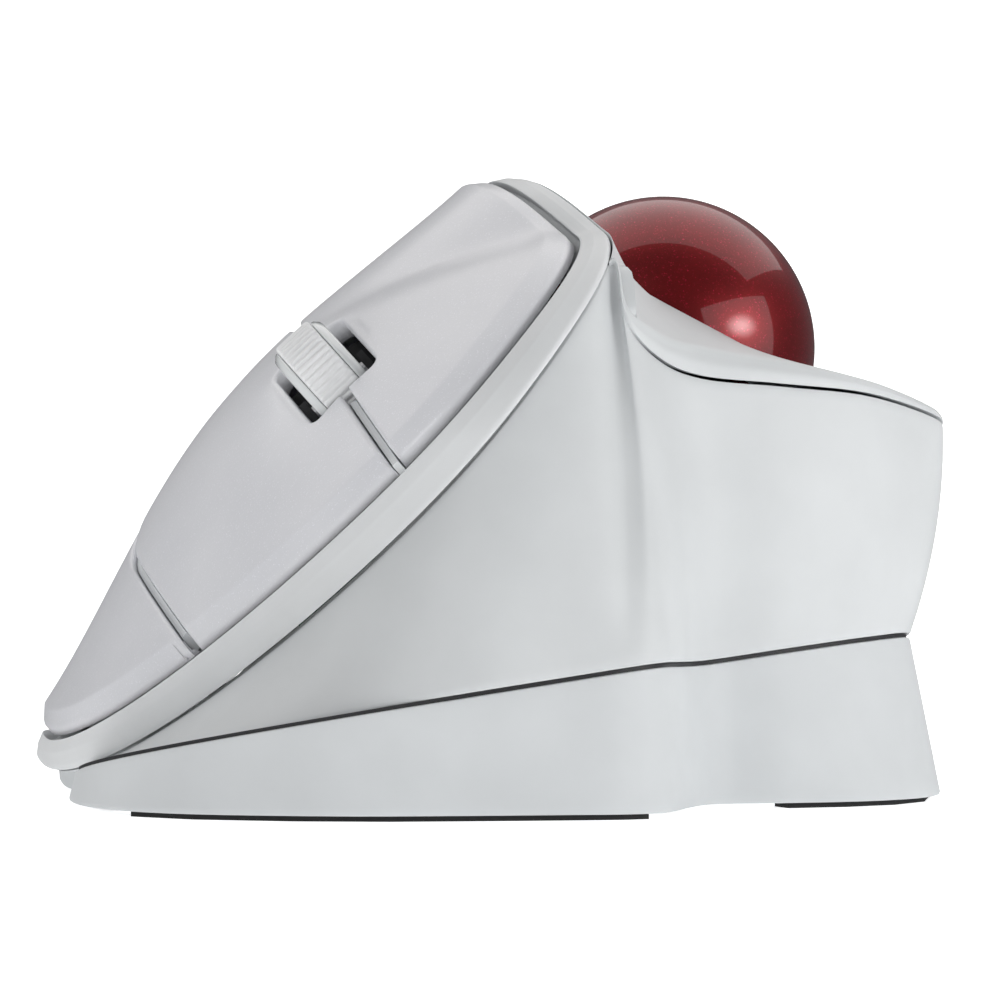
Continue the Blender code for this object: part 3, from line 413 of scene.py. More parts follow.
def solder_mask(name):
    """Green circuit board with its copper showing paler under the lacquer."""
    made = Nodes(name, 0.35, Coat_Weight=0.3, Coat_Roughness=0.15)
    tracks = made.add("ShaderNodeTexBrick")
    made.link(made.where, tracks.inputs["Vector"])
    tracks.inputs["Scale"].default_value = 420.0
    tracks.inputs["Mortar Size"].default_value = 0.03
    tracks.inputs["Color1"].default_value = (0.015, 0.13, 0.055, 1)
    tracks.inputs["Color2"].default_value = (0.02, 0.16, 0.07, 1)
    tracks.inputs["Mortar"].default_value = (0.04, 0.26, 0.11, 1)
    made.colour(tracks.outputs["Color"])
    made.bump(tracks.outputs["Fac"], 2e-5)
    return made.material


def brushed(name, colour, roughness):
    """Metal with fine marks drawn out along one axis."""
    made = Nodes(name, roughness, metallic=1.0, Anisotropic=0.4)
    stretch = made.add("ShaderNodeMapping")
    stretch.inputs["Scale"].default_value = (1.0, 14.0, 1.0)
    made.link(made.where, stretch.inputs["Vector"])
    lines = made.add("ShaderNodeTexNoise")
    lines.inputs["Scale"].default_value = 900.0
    made.link(stretch.outputs["Vector"], lines.inputs["Vector"])
    darker = tuple(c * 0.82 for c in colour)
    made.colour(made.ramp(lines.outputs["Fac"], 0.3, 0.7, (darker, colour)))
    made.rough(made.spread(lines.outputs["Fac"], roughness - 0.08, roughness + 0.1))
    made.bump(lines.outputs["Fac"], 3e-6)
    return made.material


SHELL = moulded("shell_white", (0.670, 0.690, 0.700), 0.46)
RING = moulded("ring_white", (0.735, 0.750, 0.758), 0.42)
STAND = moulded("stand_white", (0.660, 0.682, 0.695), 0.48)
PEARL = pearl("pearl_white")
WHEEL = moulded("wheel_white", (0.87, 0.875, 0.88), 0.5, grain=4200.0, depth=6e-6)
GLOSS = moulded("gloss_white", (0.76, 0.785, 0.79), 0.14, depth=1e-6, Coat_Weight=0.8, Coat_Roughness=0.05)
DARK = moulded("dark_plastic", (0.030, 0.030, 0.032), 0.5, edge_lift=0.05)
RUBBER = moulded("foot_rubber", (0.016, 0.016, 0.016), 0.75, grain=1500.0, depth=2e-5)
CERAMIC = moulded("bearing_ceramic", (0.85, 0.85, 0.82), 0.15, depth=1e-6)
CELL = moulded("cell_jacket", (0.06, 0.075, 0.11), 0.3, Coat_Weight=0.4)
BALL = ball_material()
BOARD = solder_mask("circuit_board")
STEEL = brushed("steel", (0.62, 0.62, 0.64), 0.3)
LENS_NODES = Nodes("clear_lens", 0.04, Transmission_Weight=0.9, IOR=1.49)
LENS_NODES.colour(LENS_NODES.ramp(LENS_NODES.noise(300.0), 0.3, 0.7, ((0.86, 0.88, 0.9), (0.95, 0.96, 0.97))))
LENS = LENS_NODES.material

CAD_FINISH = {
    "shell_white": SHELL, "pearl_white": PEARL, "wheel_white": WHEEL, "gloss_white": GLOSS, "ball_red": BALL,
    "foot_rubber": RUBBER, "dark_plastic": DARK, "circuit_board": BOARD, "steel": STEEL,
    "bearing_ceramic": CERAMIC, "cell_jacket": CELL, "clear_lens": LENS,
}
for part in frame["record"]["subparts"]:
    node = frame["nodes"][part["node"]]
    for slot in node.material_slots:
        slot.material = CAD_FINISH[part["material_slot"]]


# ---- Finger panel ----
OVAL_STEPS = 300


def panel_oval(inwards):
    return [oval(2 * math.pi * i / OVAL_STEPS, PANEL_LENGTH - inwards, PANEL_FRONT - inwards,
                 PANEL_REAR - inwards) for i in range(OVAL_STEPS)]


PAST_PANEL = 46.0


def palm_line(offset):
    """The line between the buttons and the palm cover, moved by this much towards the cover."""
    line = [(PALM_SPLIT_U - offset, PAST_PANEL)]
    line += [(PALM_SPLIT_U - offset, v) for v in np.linspace(40, PALM_CENTRE_V + 1, 12)]
    for i in range(25):
        turn = math.pi + math.pi / 2 * i / 24
        radius = PALM_RADIUS + offset
        line.append((PALM_CENTRE_U + radius * math.cos(turn), PALM_CENTRE_V + radius * math.sin(turn)))
    slope = math.hypot(1, PALM_SPLIT_SLANT)
    start = PALM_CENTRE_U + 0.6 + 0.45 * offset
    return line + [(u, PALM_SPLIT_V - PALM_SPLIT_SLANT * (u - PALM_CENTRE_U) - offset * slope)
                   for u in np.linspace(start, PAST_PANEL, 24)]


def beyond_palm_line(u, v):
    """Distance from the palm split, positive on the cover's side."""
    below = PALM_SPLIT_V - PALM_SPLIT_SLANT * (u - PALM_CENTRE_U) - v
    beyond_straight = below / math.hypot(1, PALM_SPLIT_SLANT)
    if u >= PALM_CENTRE_U:
        return beyond_straight
    if v >= PALM_CENTRE_V:
        return PALM_SPLIT_U - u
    return math.hypot(u - PALM_CENTRE_U, v - PALM_CENTRE_V) - PALM_RADIUS


def button_split(v, offset):
    """A point of the line between the two buttons, moved by this much up the slope."""
    slanted = PANEL_FRONT - max(v, WHEEL_V)
    return (BUTTON_SPLIT_U + BUTTON_SPLIT_SLANT * slanted + offset, v)


def beyond_button_split(u, v):
    return u - button_split(v, 0)[0]


def rounded_box(du, dv, half_u, half_v, radius):
    """Distance outside a rounded rectangle."""
    a, b = abs(du) - half_u + radius, abs(dv) - half_v + radius
    return math.hypot(max(a, 0), max(b, 0)) + min(max(a, b), 0) - radius


CORNER_STEPS = 6


def rounded_outline(half_u, half_v, radius):
    outline = []
    for k, (su, sv) in enumerate(((1, 1), (-1, 1), (-1, -1), (1, -1))):
        for i in range(CORNER_STEPS + 1):
            turn = math.pi / 2 * (k + i / CORNER_STEPS)
            outline.append((su * (half_u - radius) + radius * math.cos(turn),
                            sv * (half_v - radius) + radius * math.sin(turn)))
    return outline


SLOT_CORNER = 1.3
SLOT_U, SLOT_V = WHEEL_U + 0.2, WHEEL_V + 0.2


def slot_line(clearance):
    half_u, half_v = SLOT_WIDTH / 2 + clearance, SLOT_LENGTH / 2 + clearance
    outline = rounded_outline(half_u, half_v, SLOT_CORNER + clearance)
    return [(SLOT_U + du, SLOT_V + dv - DISC_SKEW * du) for du, dv in outline]


def beyond_slot(u, v):
    du = u - SLOT_U
    return rounded_box(du, v - SLOT_V + DISC_SKEW * du, SLOT_WIDTH / 2, SLOT_LENGTH / 2, SLOT_CORNER)


# Small keys in the palm cover: name, low corner and high corner in disc coordinates.
SMALL_KEYS = (
    ("forward_button", (19.5, -41.5), (25.0, -35.5)),
    ("back_button", (11.5, -45.5), (17.5, -39.5)),
    ("dpi_button", (6.5, -34.0), (11.0, -28.0)),
)
KEY_GAP, KEY_CORNER = 0.4, 1.6


def key_sizes(low, high):
    middle = ((low[0] + high[0]) / 2, (low[1] + high[1]) / 2)
    return middle, (high[0] - low[0]) / 2, (high[1] - low[1]) / 2


def key_line(low, high, clearance):
    middle, half_u, half_v = key_sizes(low, high)
    outline = rounded_outline(half_u + clearance, half_v + clearance, KEY_CORNER + clearance)
    return [(middle[0] + du, middle[1] + dv) for du, dv in outline]


def beyond_key(u, v, low, high):
    middle, half_u, half_v = key_sizes(low, high)
    return rounded_box(u - middle[0], v - middle[1], half_u, half_v, KEY_CORNER)


CHAMFER_WIDTH, CHAMFER_DROP, CHAMFER_SOFTNESS = 1.5, 1.15, 0.12
EDGE_WIDTH, EDGE_DROP = 0.25, 0.6
SPLIT_ROUND, KEY_ROUND = 0.5, 0.6
KEY_RISE, COVER_SINK = 0.37, 0.22
KEY_SKIRT, PANEL_SKIRT, PANEL_WALL = 1.9, 2.4, 1.1
# How far in from the rim, and out from a split or a key, the mesh has a line of its own.
RIM_LINES = (0, 0.12, 0.28, 0.8, 1.3, 1.45, 1.6, 1.85)
SPLIT_LINES = (0, 0.06, 0.16, 0.3, 0.5, 0.75)
GRID_PITCH = 1.0


def panel_lines():
    """Every line the panel's mesh follows, as (closed, points)."""
    lines = [(True, panel_oval(e)) for e in RIM_LINES]
    for e in SPLIT_LINES:
        lines.append((False, palm_line(HALF_GAP + e)))
        lines.append((False, palm_line(-HALF_GAP - e)))
        for side in (-1, 1):
            lines.append((False, [button_split(v, side * (HALF_GAP + e)) for v in np.linspace(-26, 44, 50)]))
        lines.append((True, slot_line(e)))
        for _, low, high in SMALL_KEYS:
            lines.append((True, key_line(low, high, KEY_GAP + e)))
            lines.append((True, key_line(low, high, -e)))
    return lines


BATCH = 400


def distance_to(points, starts, ends):
    """Least distance from each point to any of the segments."""
    along = ends - starts
    squared_length = np.maximum((along**2).sum(1), 1e-12)
    least = np.empty(len(points))
    for begin in range(0, len(points), BATCH):
        part = points[begin:begin + BATCH, None, :] - starts[None]
        t = np.clip((part * along[None]).sum(2) / squared_length[None], 0, 1)
        gap = part - t[..., None] * along[None]
        least[begin:begin + BATCH] = np.sqrt((gap**2).sum(2).min(1))
    return least


def panel_plan():
    """The panel's plan cut along all its lines: points and triangles in disc coordinates."""
    points, edges = [], []
    for closed, line in panel_lines():
        first = len(points)
        points += [tuple(p) for p in line]
        edges += [(first + i, first + i + 1) for i in range(len(line) - 1)]
        if closed:
            edges.append((first + len(line) - 1, first))
    plan = np.array(points, float)
    starts, ends = plan[[a for a, _ in edges]], plan[[b for _, b in edges]]
    us = np.arange(-PANEL_LENGTH, PANEL_LENGTH, GRID_PITCH)
    vs = np.arange(-PANEL_REAR, PANEL_FRONT, GRID_PITCH)
    inner = [(u + (0.5 * GRID_PITCH if j % 2 else 0), v) for j, v in enumerate(vs) for u in us]
    inner = np.array([p for p in inner if oval_share(*p, PANEL_LENGTH, PANEL_FRONT, PANEL_REAR) < 0.99])
    inner = inner[distance_to(inner, starts, ends) > 0.3 * GRID_PITCH]
    everything = [Vector(p) for p in points] + [Vector(p) for p in inner.tolist()]
    made = delaunay_2d_cdt(everything, edges, [], 0, 1e-4)
    return np.array([tuple(p) for p in made[0]]), made[2]


def chamfer_drop(inside):
    """How far the outer rim's chamfer lowers the face, this far inside the edge."""
    x = CHAMFER_WIDTH - inside
    slope = 0.5 * (x + math.sqrt(x * x + CHAMFER_SOFTNESS * CHAMFER_SOFTNESS)) * CHAMFER_DROP / CHAMFER_WIDTH
    edge = max(0.0, EDGE_WIDTH - inside)
    return slope + EDGE_DROP * edge * edge / EDGE_WIDTH


def round_drop(inside, radius):
    """How far a rounded edge of this radius lowers the face, this far inside it."""
    if inside >= radius:
        return 0.0
    short = radius - max(inside, 0.0)
    return radius - math.sqrt(max(radius * radius - short * short, 0.0))


def make_panel_pieces():
    """The two buttons, the palm cover and its keys, cut from one crowned surface along the splits."""
    plan, triangles = panel_plan()
    rim = np.array(panel_oval(0))
    from_rim = distance_to(plan, rim, np.roll(rim, -1, axis=0))
    centres = np.array([plan[list(t)].mean(0) for t in triangles])
    zones = {}
    for index, (u, v) in enumerate(centres):
        if oval_share(u, v, PANEL_LENGTH, PANEL_FRONT, PANEL_REAR) > 1:
            continue
        palm = beyond_palm_line(u, v)
        if palm > HALF_GAP:
            gaps = {name: beyond_key(u, v, low, high) for name, low, high in SMALL_KEYS}
            near = min(gaps, key=gaps.get)
            if gaps[near] > KEY_GAP:
                zones.setdefault("palm_cover", []).append(index)
            elif gaps[near] < 0:
                zones.setdefault(near, []).append(index)
        elif palm < -HALF_GAP and beyond_slot(u, v) > 0:
            if beyond_button_split(u, v) > HALF_GAP:
                zones.setdefault("left_button", []).append(index)
            elif beyond_button_split(u, v) < -HALF_GAP:
                zones.setdefault("right_button", []).append(index)

    keys = {name: (low, high) for name, low, high in SMALL_KEYS}

    def height(name, k):
        u, v = plan[k]
        top = crown_height(u, v)
        if name in keys:
            inside = -beyond_key(u, v, *keys[name])
            return top + KEY_RISE - round_drop(inside, KEY_ROUND)
        top -= chamfer_drop(from_rim[k])
        if name == "palm_cover":
            gap = min([beyond_key(u, v, low, high) - KEY_GAP for low, high in keys.values()])
            split = min(beyond_palm_line(u, v) - HALF_GAP, gap)
            return top - COVER_SINK - round_drop(split, SPLIT_ROUND)
        side = beyond_button_split(u, v) * (1 if name == "left_button" else -1)
        split = min(-beyond_palm_line(u, v) - HALF_GAP, side - HALF_GAP, beyond_slot(u, v))
        return top - round_drop(split, SPLIT_ROUND)

    for name, members in zones.items():
        used = sorted({k for index in members for k in triangles[index]})
        index_of = {k: i for i, k in enumerate(used)}
        faces = [tuple(index_of[k] for k in triangles[index]) for index in members]
        points = [disc_point(*plan[k], height(name, k)) for k in used]
        edge_count = {}
        for face in faces:
            for a, b in zip(face, face[1:] + face[:1]):
                key = (min(a, b), max(a, b))
                edge_count[key] = edge_count.get(key, 0) + 1
        border = [edge for edge, count in edge_count.items() if count == 1]
        skirt = KEY_SKIRT if name in keys else PANEL_SKIRT
        lower = {}
        for i in {i for edge in border for i in edge}:
            u, v = plan[used[i]]
            lower[i] = len(points)
            points.append(disc_point(u, v, crown_height(u, v) - skirt))
        for a, b in border:
            faces.append((a, b, lower[b], lower[a]))
        finish, slot = (GLOSS, "gloss_white") if name in keys else (PEARL, "pearl_white")
        body = "mouse" if name == "palm_cover" else name
        piece = show(name + "_face", points, faces, finish, body, (name,), sharp=50)
        wall = piece.modifiers.new("wall", "SOLIDIFY")
        wall.thickness = PANEL_WALL * MM
        wall.offset = -1


RIB_HALF_WIDTH, RIB_TOP, RIB_FOOT = 0.4, -1.15, -3.4


def make_split_ribs():
    """Ribs of the button frame that close the splits from below."""
    seam = [button_split(v, 0) for v in np.linspace(WHEEL_V + SLOT_LENGTH / 2 + 1.2, PANEL_FRONT - 0.8, 24)]
    palm = [p for p in palm_line(0) if oval_share(*p, PANEL_LENGTH, PANEL_FRONT, PANEL_REAR) < 0.97]
    for name, line in (("button_rib", seam), ("palm_rib", palm)):
        line = np.array(line)
        along = np.gradient(line, axis=0)
        along /= np.linalg.norm(along, axis=1)[:, None]
        across = np.stack([-along[:, 1], along[:, 0]], axis=1)
        section = ((-1, RIB_FOOT), (-1, RIB_TOP - 0.1), (-0.8, RIB_TOP), (0.8, RIB_TOP), (1, RIB_TOP - 0.1),
                   (1, RIB_FOOT))
        rows = []
        for middle, side in zip(line, across):
            row = []
            for share, height in section:
                u, v = middle + side * share * RIB_HALF_WIDTH
                row.append(disc_point(u, v, crown_height(u, v) + height))
            rows.append(row)
        points, faces = rows_mesh(rows, caps=True)
        show(name, points, faces, SHELL, "mouse", sharp=40)


# ---- Ring round the panel ----
# The ring's section: how far out from its inner edge, how far down its fall, and how deep under its surface.
RING_SECTION = (
    (-3.6, 0, 2.0), (-3.2, 0, 1.85), (-0.25, 0, 1.75), (0.0, 0, 1.5), (0.0, 0, 0.22), (0.05, 0.0, 0.09),
    (0.16, 0.03, 0.02), (0.34, 0.10, 0.0), (0.8, 0.24, 0.0), (1.34, 0.40, 0.0), (1.43, 0.445, 0.0),
    (1.52, 0.50, 0.0), (1.9, 0.72, 0.0), (2.26, 0.92, 0.0), (2.36, 0.98, 0.05), (2.40, 1.0, 0.14),
    (2.40, 1.0, 0.5), (2.34, 1.0, 0.62), (1.9, 0.8, 1.0), (0.3, 0.1, 1.75), (-0.6, 0, 2.0), (-3.4, 0, 2.1),
)


def make_ring():
    angles = [2 * math.pi * i / OVAL_STEPS for i in range(OVAL_STEPS)]
    rows = [[ring_point(angle, *corner) for angle in angles] for corner in RING_SECTION]
    points, faces = rows_mesh(rows, close_rows=True)
    show("bezel_ring_face", points, faces, RING, "mouse", ("bezel_ring",), sharp=40)


# ---- Housing ----
def housing_feet():
    feet = [HOUSING_FEET.get(i, station[0]) for i, station in enumerate(STATIONS)]
    return lifted([np.array([x, y, 0.0]) for x, y in ease(feet, STEPS)], SEAT_GAP)


WALL_BULGE, BULGE_HEIGHT, WALL_ROWS = 1.4, 30, 25
TONGUE_RISE = 0.7


def make_housing():
    feet = housing_feet()
    rows = []
    for share in np.linspace(0, 1, WALL_ROWS):
        row = []
        for low, high in zip(feet, TOPS):
            swell = WALL_BULGE * 4 * share * (1 - share)
            swell *= min(1.0, max(0.0, high[2] - low[2]) / BULGE_HEIGHT)
            out = np.array([low[0], low[1], 0.0])
            row.append(lerp(low, high, share) + out / np.linalg.norm(out) * swell)
        rows.append(row)
    # Small rounds at the foot and the upper edge, then the walls turn inwards.
    head, foot = rows[-1], rows[0]
    below_head, over_foot = rows[-2], rows[1]
    head_in = inset(head, 0.35)
    rows[-1] = [lerp(a, b, 0.25 / max(0.25, np.linalg.norm(b - a))) for a, b in zip(head, below_head)]
    rows.append([lerp(a, b, 0.3) for a, b in zip(head, head_in)])
    # A tongue reaches up behind the ring, and there is none under the deck.
    tongue = []
    for i in range(len(head)):
        past_deck = max((FIRST_DECK - 1) * STEPS - i, i - (LAST_DECK + 1) * STEPS)
        tongue.append(np.array([0, 0, TONGUE_RISE * min(1.0, max(0.0, past_deck / STEPS))]))
    rows += [head_in, inset(head, 0.55), [p + up for p, up in zip(inset(head, 0.75), tongue)],
             [p + up for p, up in zip(inset(head, 1.6), tongue)]]
    rows.append([p - np.array([0, 0, 2.2]) for p in inset(head, 1.8)])
    rows[0] = [lerp(a, b, 0.2 / max(0.2, np.linalg.norm(b - a))) for a, b in zip(foot, over_foot)]
    foot_in = inset(foot, 0.3)
    rows = [inset(foot, 1.8), foot_in, [lerp(a, b, 0.3) for a, b in zip(foot, foot_in)]] + rows
    points, faces = rows_mesh(rows)
    show("main_housing_face", points, faces, SHELL, "mouse", ("main_housing",), sharp=55)


# ---- Thumb deck ----
# Height of the deck's lip over the parting line at each station, from the ring round the thumb side.
LIP_HEIGHTS = [0.3, 1.2, 2.4, 3.1, 2.5, 1.5, 0.9, 0.8, 0.9, 1.4, 2.2, 2.6, 1.6, 0.5]
RIDGE_STEPS = 45


def socket_point(turn, radius, height):
    """A point about the socket's axis: turn 0 is the low side, height is from the ball's middle."""
    front = np.array([0.0, -1.0, 0.0])
    side = SOCKET_SIDE * math.cos(turn) + front * math.sin(turn)
    return BALL_CENTRE + SOCKET_AXIS * height + side * radius


def deck_border():
    """The deck's parting line with the height of its lip at each point, then its line along the ring."""
    first, last = (FIRST_DECK - 1) * STEPS, (LAST_DECK + 1) * STEPS
    border = []
    for i in range(first, last + 1):
        share = (i - first) / STEPS
        low = min(int(share), len(LIP_HEIGHTS) - 2)
        t = share - low
        t = t * t * (3 - 2 * t) * 0.5 + t * 0.5
        lip = lerp(LIP_HEIGHTS[low], LIP_HEIGHTS[low + 1], t)
        border.append((TOPS[i] + np.array([0.0, 0.0, PARTING_GAP]), lip))
    for i in range(1, RIDGE_STEPS):
        angle = math.radians(lerp(DECK_TO_RING, RING_TO_DECK, i / RIDGE_STEPS))
        border.append((ring_point(angle, RIM_WIDTH + 0.1, 1.0, 0.75), 0.35))
    return border


# The deck may rise from the ring's edge at this rate, and freely past this distance.
DECK_CLEAR, DECK_CLIMB = 8.0, 0.9


def under_ring(point):
    """A deck point kept below the ring where it would come up through it."""
    u, v, n = disc_coordinates(point)
    angle = math.atan2(v / (RIM_FRONT if v > 0 else RIM_REAR), u / RIM_LENGTH)
    share = oval_share(u, v, RIM_LENGTH + 2.5, RIM_FRONT + 1.6, RIM_REAR + 2.6)
    beyond = max(0.0, share - 1) * RIM_LENGTH
    if beyond > DECK_CLEAR:
        return point
    edge = ring_point(angle, RIM_WIDTH, 1.0, 0.75)
    return disc_point(u, v, min(n, disc_coordinates(edge)[2] + beyond * DECK_CLIMB))


def make_deck():
    sphere = BALL_RADIUS + BALL_GAP
    opening = math.sqrt(sphere**2 - OPENING_HEIGHT**2)
    rows = [[] for _ in range(11)]
    for point, lip in deck_border():
        offset = point - BALL_CENTRE
        turn = math.atan2(-offset[1], offset.dot(SOCKET_SIDE))
        rim = socket_point(turn, opening, OPENING_HEIGHT)
        inwards = (rim - point) * np.array([1.0, 1.0, 0.0])
        inwards = inwards / np.linalg.norm(inwards)
        up = np.array([0.0, 0.0, 1.0])
        crest = point + inwards * 0.4 * lip + up * lip
        soft = min(0.9, 0.35 * lip + 0.1)
        slope = (rim - crest) / np.linalg.norm(rim - crest)
        rows[0].append(point)
        rows[1].append(point + inwards * 0.06 * lip + up * 0.45 * lip)
        rows[2].append(crest - (inwards * 0.45 + up * 0.9) * soft * 0.9)
        rows[3].append(crest + (slope - inwards * 0.45 - up) * soft * 0.22)
        rows[4].append(crest + slope * soft)
        for row, share in zip(rows[5:9], (0.1, 0.22, 0.5, 0.92)):
            row.append(lerp(crest, rim, share))
        rows[9].append(rim - SOCKET_AXIS * 0.25)
        rows[10].append(socket_point(turn, sphere, 0.5))
    rows = spline_rows(rows, 4)
    parting = (LAST_DECK - FIRST_DECK + 2) * STEPS
    rim_in = []
    for i, (edge, flange) in enumerate(zip(rows[0], inset(list(rows[0]), 1.2))):
        from_ring = min(1.0, max(0.0, min(i - STEPS, parting - STEPS - i) / STEPS))
        rim_in.append(lerp(edge - [0, 0, 0.6], flange + [0, 0, 0.05], from_ring))
    rows = [rim_in] + rows
    rows = [[under_ring(point) for point in row] for row in rows]
    points, faces = rows_mesh(rows)
    show("thumb_deck_face", points, faces, SHELL, "mouse", ("thumb_deck",), sharp=60)


BALL_RINGS, BALL_SIDES = 96, 128


def make_ball():
    back = np.array([0.0, 1.0, 0.0])
    rows = []
    for i in range(1, BALL_RINGS):
        polar = math.pi * i / BALL_RINGS
        rows.append([BALL_CENTRE + BALL_RADIUS * (
            SOCKET_AXIS * math.cos(polar) + math.sin(polar) * (
                SOCKET_SIDE * math.cos(turn) + back * math.sin(turn)))
            for turn in (2 * math.pi * k / BALL_SIDES for k in range(BALL_SIDES))])
    points, faces = rows_mesh(rows, caps=True)
    show("trackball_face", points, faces, BALL, "trackball", ("trackball",))


# ---- Scroll wheel ----
RIBS, STEPS_A_RIB, RIB_DEPTH, RIB_ROOT = 64, 8, 0.26, 8.2
FLANGE_SIDES = 96


def wheel_point(radius, turn, along):
    """A point about the wheel's axle: along runs up the slope."""
    side = np.array([0.0, 1.0, 0.0])
    centre = disc_point(WHEEL_U, WHEEL_V, WHEEL_N)
    return centre + SLOPE_DIRECTION * along + radius * (DISC_NORMAL * math.cos(turn) + side * math.sin(turn))


def make_wheel():
    half, edge = TYRE_WIDTH / 2, WHEEL_WIDTH / 2
    turns = [2 * math.pi * k / (RIBS * STEPS_A_RIB) for k in range(RIBS * STEPS_A_RIB)]
    profile = (
        (6.0, -half), (7.9, -half), (8.3, -half + 0.06), (8.44, -half + 0.2), (WHEEL_RADIUS, -half + 0.45),
        (WHEEL_RADIUS, 0.0), (WHEEL_RADIUS, half - 0.45), (8.44, half - 0.2), (8.3, half - 0.06),
        (7.9, half), (6.0, half))
    rows = []
    for radius, along in profile:
        ribbed = RIB_DEPTH if radius > RIB_ROOT else 0.0
        row = []
        for k, turn in enumerate(turns):
            wave = 0.5 - 0.5 * math.cos(2 * math.pi * (k % STEPS_A_RIB) / STEPS_A_RIB)
            row.append(wheel_point(radius - ribbed * wave**2, turn, along))
        rows.append(row)
    points, faces = rows_mesh(rows, close_rows=True)
    show("wheel_tyre_face", points, faces, WHEEL, "scroll_wheel", ("wheel_tyre",), sharp=70)
    turns = [2 * math.pi * k / FLANGE_SIDES for k in range(FLANGE_SIDES)]
    for name, side in (("wheel_flange_lower", -1), ("wheel_flange_upper", 1)):
        inner = half + 0.03
        profile = (
            (1.6, inner), (7.6, inner), (7.92, inner + 0.05), (8.0, inner + 0.18), (7.9, inner + 0.42),
            (7.4, edge - 0.12), (7.1, edge), (5.6, edge), (5.3, edge - 0.3), (2.6, edge - 0.3), (2.4, edge),
            (1.6, edge))
        rows = [[wheel_point(radius, turn, side * along) for turn in turns] for radius, along in profile]
        points, faces = rows_mesh(rows, close_rows=True)
        show(name + "_face", points, faces, GLOSS, "scroll_wheel", (name,), sharp=35)


def make_slot_shade_walls():
    """Dark walls round the wheel, under the buttons: painted shade for the shadow down in the slot."""
    rows = []
    for clearance, height in ((0.75, -3.3), (0.7, -4.0), (0.7, -9.0), (0.0, -12.0)):
        row = []
        for u, v in slot_line(clearance):
            top = crown_height(u, v) if height > -5 else 10.0
            row.append(disc_point(u, v, top + height))
        rows.append(row)
    points, faces = rows_mesh(rows)
    # The walls are dark plastic as painted shade in the wheel's slot.
    show("wheel_slot_painted_shade", points, faces, DARK, "mouse", sharp=40)


# ---- Wedge stand ----
# The stand's wall leans out by 0.6 mm, and by 3.3 mm on the thumb side.
LEAST_SEAT, BASE_BOTTOM = 2.7, 0.6
FLARE_LEAST, FLARE_MOST = 0.6, 3.3


def clip_low(loop, least):
    """The loop with its low points moved up the seat's slope until the seat is this high."""
    slope = np.array([SEAT_SIDE_SLOPE, SEAT_FRONT_SLOPE])
    moved = []
    for point in loop:
        short = max(0.0, least - seat_height(point[0], point[1]))
        x, y = point[:2] + slope * short / slope.dot(slope)
        moved.append(np.array([x, y, seat_height(x, y)]))
    return moved


FLARE_START, FLARE_LENGTH = 22, 22


def flare(x):
    share = min(1.0, max(0.0, (x - FLARE_START) / FLARE_LENGTH))
    return lerp(FLARE_LEAST, FLARE_MOST, share * share * (3 - 2 * share))


def stand_outline():
    feet = [np.array([x, y, 0.0]) for x, y in ease([foot for foot, _ in STATIONS], STEPS)]
    return clip_low(feet, LEAST_SEAT)


def make_stand():
    upper = stand_outline()
    out = inset(upper, -1.0)
    ground = [here + (moved - here) * flare(here[0]) for here, moved in zip(upper, out)]
    ground = [np.array([p[0], p[1], BASE_BOTTOM]) for p in ground]
    rows = [
        [p * [1, 1, 0] + [0, 0, BASE_BOTTOM + 1.3] for p in inset(upper, 2.4)],
        inset(ground, 2.2), inset(ground, 0.3),
        [p + [0, 0, 0.05] for p in inset(ground, 0.08)], [p + [0, 0, 0.25] for p in ground],
    ]
    top_edge = lifted(upper, -0.35)
    for share in (0.08, 0.25, 0.5, 0.75, 0.92, 1.0):
        rows.append([lerp(low + [0, 0, 0.25], high, share) for low, high in zip(ground, top_edge)])
    rows += [lifted(inset(upper, 0.08), -0.1), lifted(inset(upper, 0.3), 0), lifted(inset(upper, 3.0), 0)]
    points, faces = rows_mesh(rows)
    count = len(upper)
    faces.append(tuple(range((len(rows) - 1) * count, len(rows) * count)))
    show("wedge_base_face", points, faces, STAND, "wedge_stand", ("wedge_base",), sharp=40)


def make_gap_shade_strip():
    """A dark strip in the gap between the stand and the housing: painted shade for the shadow in the gap."""
    upper = stand_outline()
    outer, inner = inset(upper, 0.45), inset(upper, 1.6)
    foot, top = -0.05, SEAT_GAP - 0.05
    rows = [lifted(outer, foot), lifted(outer, top), lifted(inner, top), lifted(inner, foot)]
    points, faces = rows_mesh(rows, close_rows=True)
    # The strip is dark plastic as painted shade in the seat gap.
    show("seat_gap_painted_shade", points, faces, DARK, "wedge_stand", sharp=40)


# ---- Camera, light and floor ----
def aim(obj, target):
    direction = Vector(target) - obj.location
    obj.rotation_euler = direction.to_track_quat("-Z", "Y").to_euler()


CAMERA_PLACE = (0.0, -656.0, 33.0)
SENSOR_WIDTH, FOCAL_LENGTH = 36.0, 211.1


def make_camera():
    data = bpy.data.cameras.new("camera")
    data.sensor_width = SENSOR_WIDTH
    data.lens = FOCAL_LENGTH
    data.clip_end = 50.0
    camera = bpy.data.objects.new("camera", data)
    bpy.context.scene.collection.objects.link(camera)
    camera.location = place(CAMERA_PLACE)
    camera.rotation_euler = (math.pi / 2, 0.0, 0.0)
    bpy.context.scene.camera = camera


def area_light(name, location, target, width, height, power, colour=(1, 1, 1)):
    data = bpy.data.lights.new(name, "AREA")
    data.shape = "RECTANGLE"
    data.size, data.size_y = width, height
    data.energy = power
    data.color = colour
    light = bpy.data.objects.new(name, data)
    bpy.context.scene.collection.objects.link(light)
    light.location = location
    aim(light, target)
    return light


FLOOR_FRONT, SWEEP_START, SWEEP_RADIUS, BACKDROP_TOP, FLOOR_HALF_WIDTH = -3.0, 0.6, 1.4, 4.0, 6.0


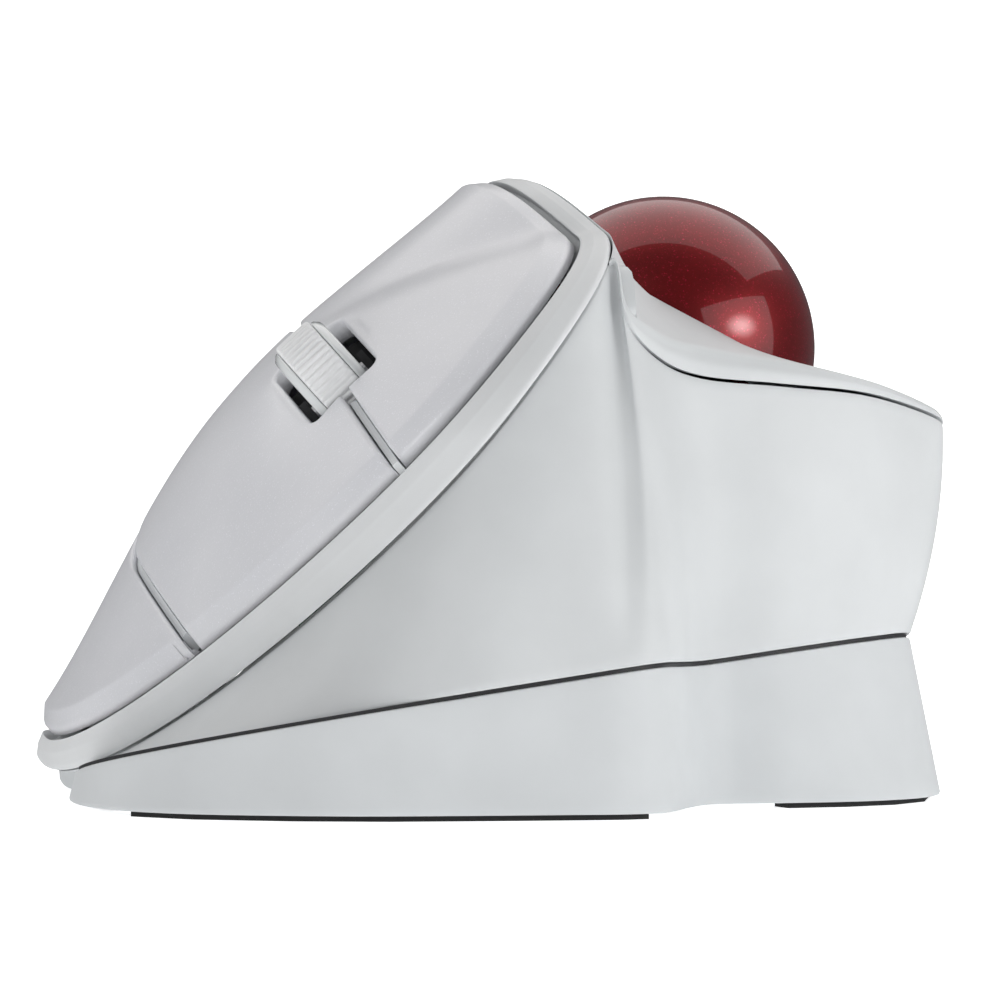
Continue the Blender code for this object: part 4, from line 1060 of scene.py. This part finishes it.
def make_floor():
    """A pale floor that sweeps up into the backdrop."""
    profile = [(FLOOR_FRONT, 0.0)]
    for turn in np.linspace(0.0, math.pi / 2, 15):
        y = SWEEP_START + SWEEP_RADIUS * math.sin(turn)
        profile.append((y, SWEEP_RADIUS - SWEEP_RADIUS * math.cos(turn)))
    profile.append((SWEEP_START + SWEEP_RADIUS, BACKDROP_TOP))
    points, faces = [], []
    for y, z in profile:
        points += [(-FLOOR_HALF_WIDTH, y, z), (FLOOR_HALF_WIDTH, y, z)]
    for i in range(len(profile) - 1):
        faces.append((2 * i, 2 * i + 1, 2 * i + 3, 2 * i + 2))
    mesh = bpy.data.meshes.new("floor")
    mesh.from_pydata(points, [], faces)
    mesh.shade_smooth()
    floor = bpy.data.objects.new("floor", mesh)
    bpy.context.scene.collection.objects.link(floor)
    pale = Nodes("floor_pale", 0.9)
    pale.colour(pale.ramp(pale.noise(3.0), 0.3, 0.7, ((0.90, 0.90, 0.90), (0.915, 0.915, 0.915))))
    pale.shader.inputs["Emission Color"].default_value = (1, 1, 1, 1)
    pale.shader.inputs["Emission Strength"].default_value = 0.62
    floor.data.materials.append(pale.material)
    floor.visible_glossy = False


def soft_core(light, edge, peak):
    """Makes the panel brighter in its middle, as a lamp behind a diffuser does."""
    light.use_nodes = True
    tree = light.node_tree
    emission = tree.nodes["Emission"]
    where = tree.nodes.new("ShaderNodeNewGeometry").outputs["Parametric"]
    centre = tree.nodes.new("ShaderNodeVectorMath")
    centre.operation = "DISTANCE"
    centre.inputs[1].default_value = (0.5, 0.5, 0.0)
    tree.links.new(where, centre.inputs[0])
    fall = tree.nodes.new("ShaderNodeMapRange")
    fall.interpolation_type = "SMOOTHSTEP"
    fall.inputs["From Max"].default_value = edge
    fall.inputs["To Min"].default_value = peak
    fall.inputs["To Max"].default_value = 1.0
    tree.links.new(centre.outputs["Value"], fall.inputs["Value"])
    tree.links.new(fall.outputs["Result"], emission.inputs["Strength"])


def make_light():
    world = bpy.data.worlds.new("studio")
    bpy.context.scene.world = world
    world.use_nodes = True
    background = world.node_tree.nodes["Background"]
    background.inputs["Color"].default_value = (0.90, 0.95, 1.0, 1)
    background.inputs["Strength"].default_value = 0.10
    area_light("overhead", (-0.05, 0.70, 0.95), (-0.05, 0.60, 0.03), 2.6, 1.6, 12.2, (1.0, 0.97, 0.95))
    panel = area_light("right_panel", (1.15, -0.62, 0.36), (0.02, 0.0, 0.05), 1.5, 0.85, 4.8)
    soft_core(panel.data, 0.26, 10.0)
    area_light("front_left", (-0.90, -1.05, 0.95), (0.0, 0.0, 0.04), 0.8, 0.6, 5.4)
    bpy.context.scene.view_settings.view_transform = "Standard"


make_camera()
make_light()
make_floor()
make_panel_pieces()
make_split_ribs()
make_ring()
make_housing()
make_deck()
make_ball()
make_wheel()
make_slot_shade_walls()
make_stand()
make_gap_shade_strip()
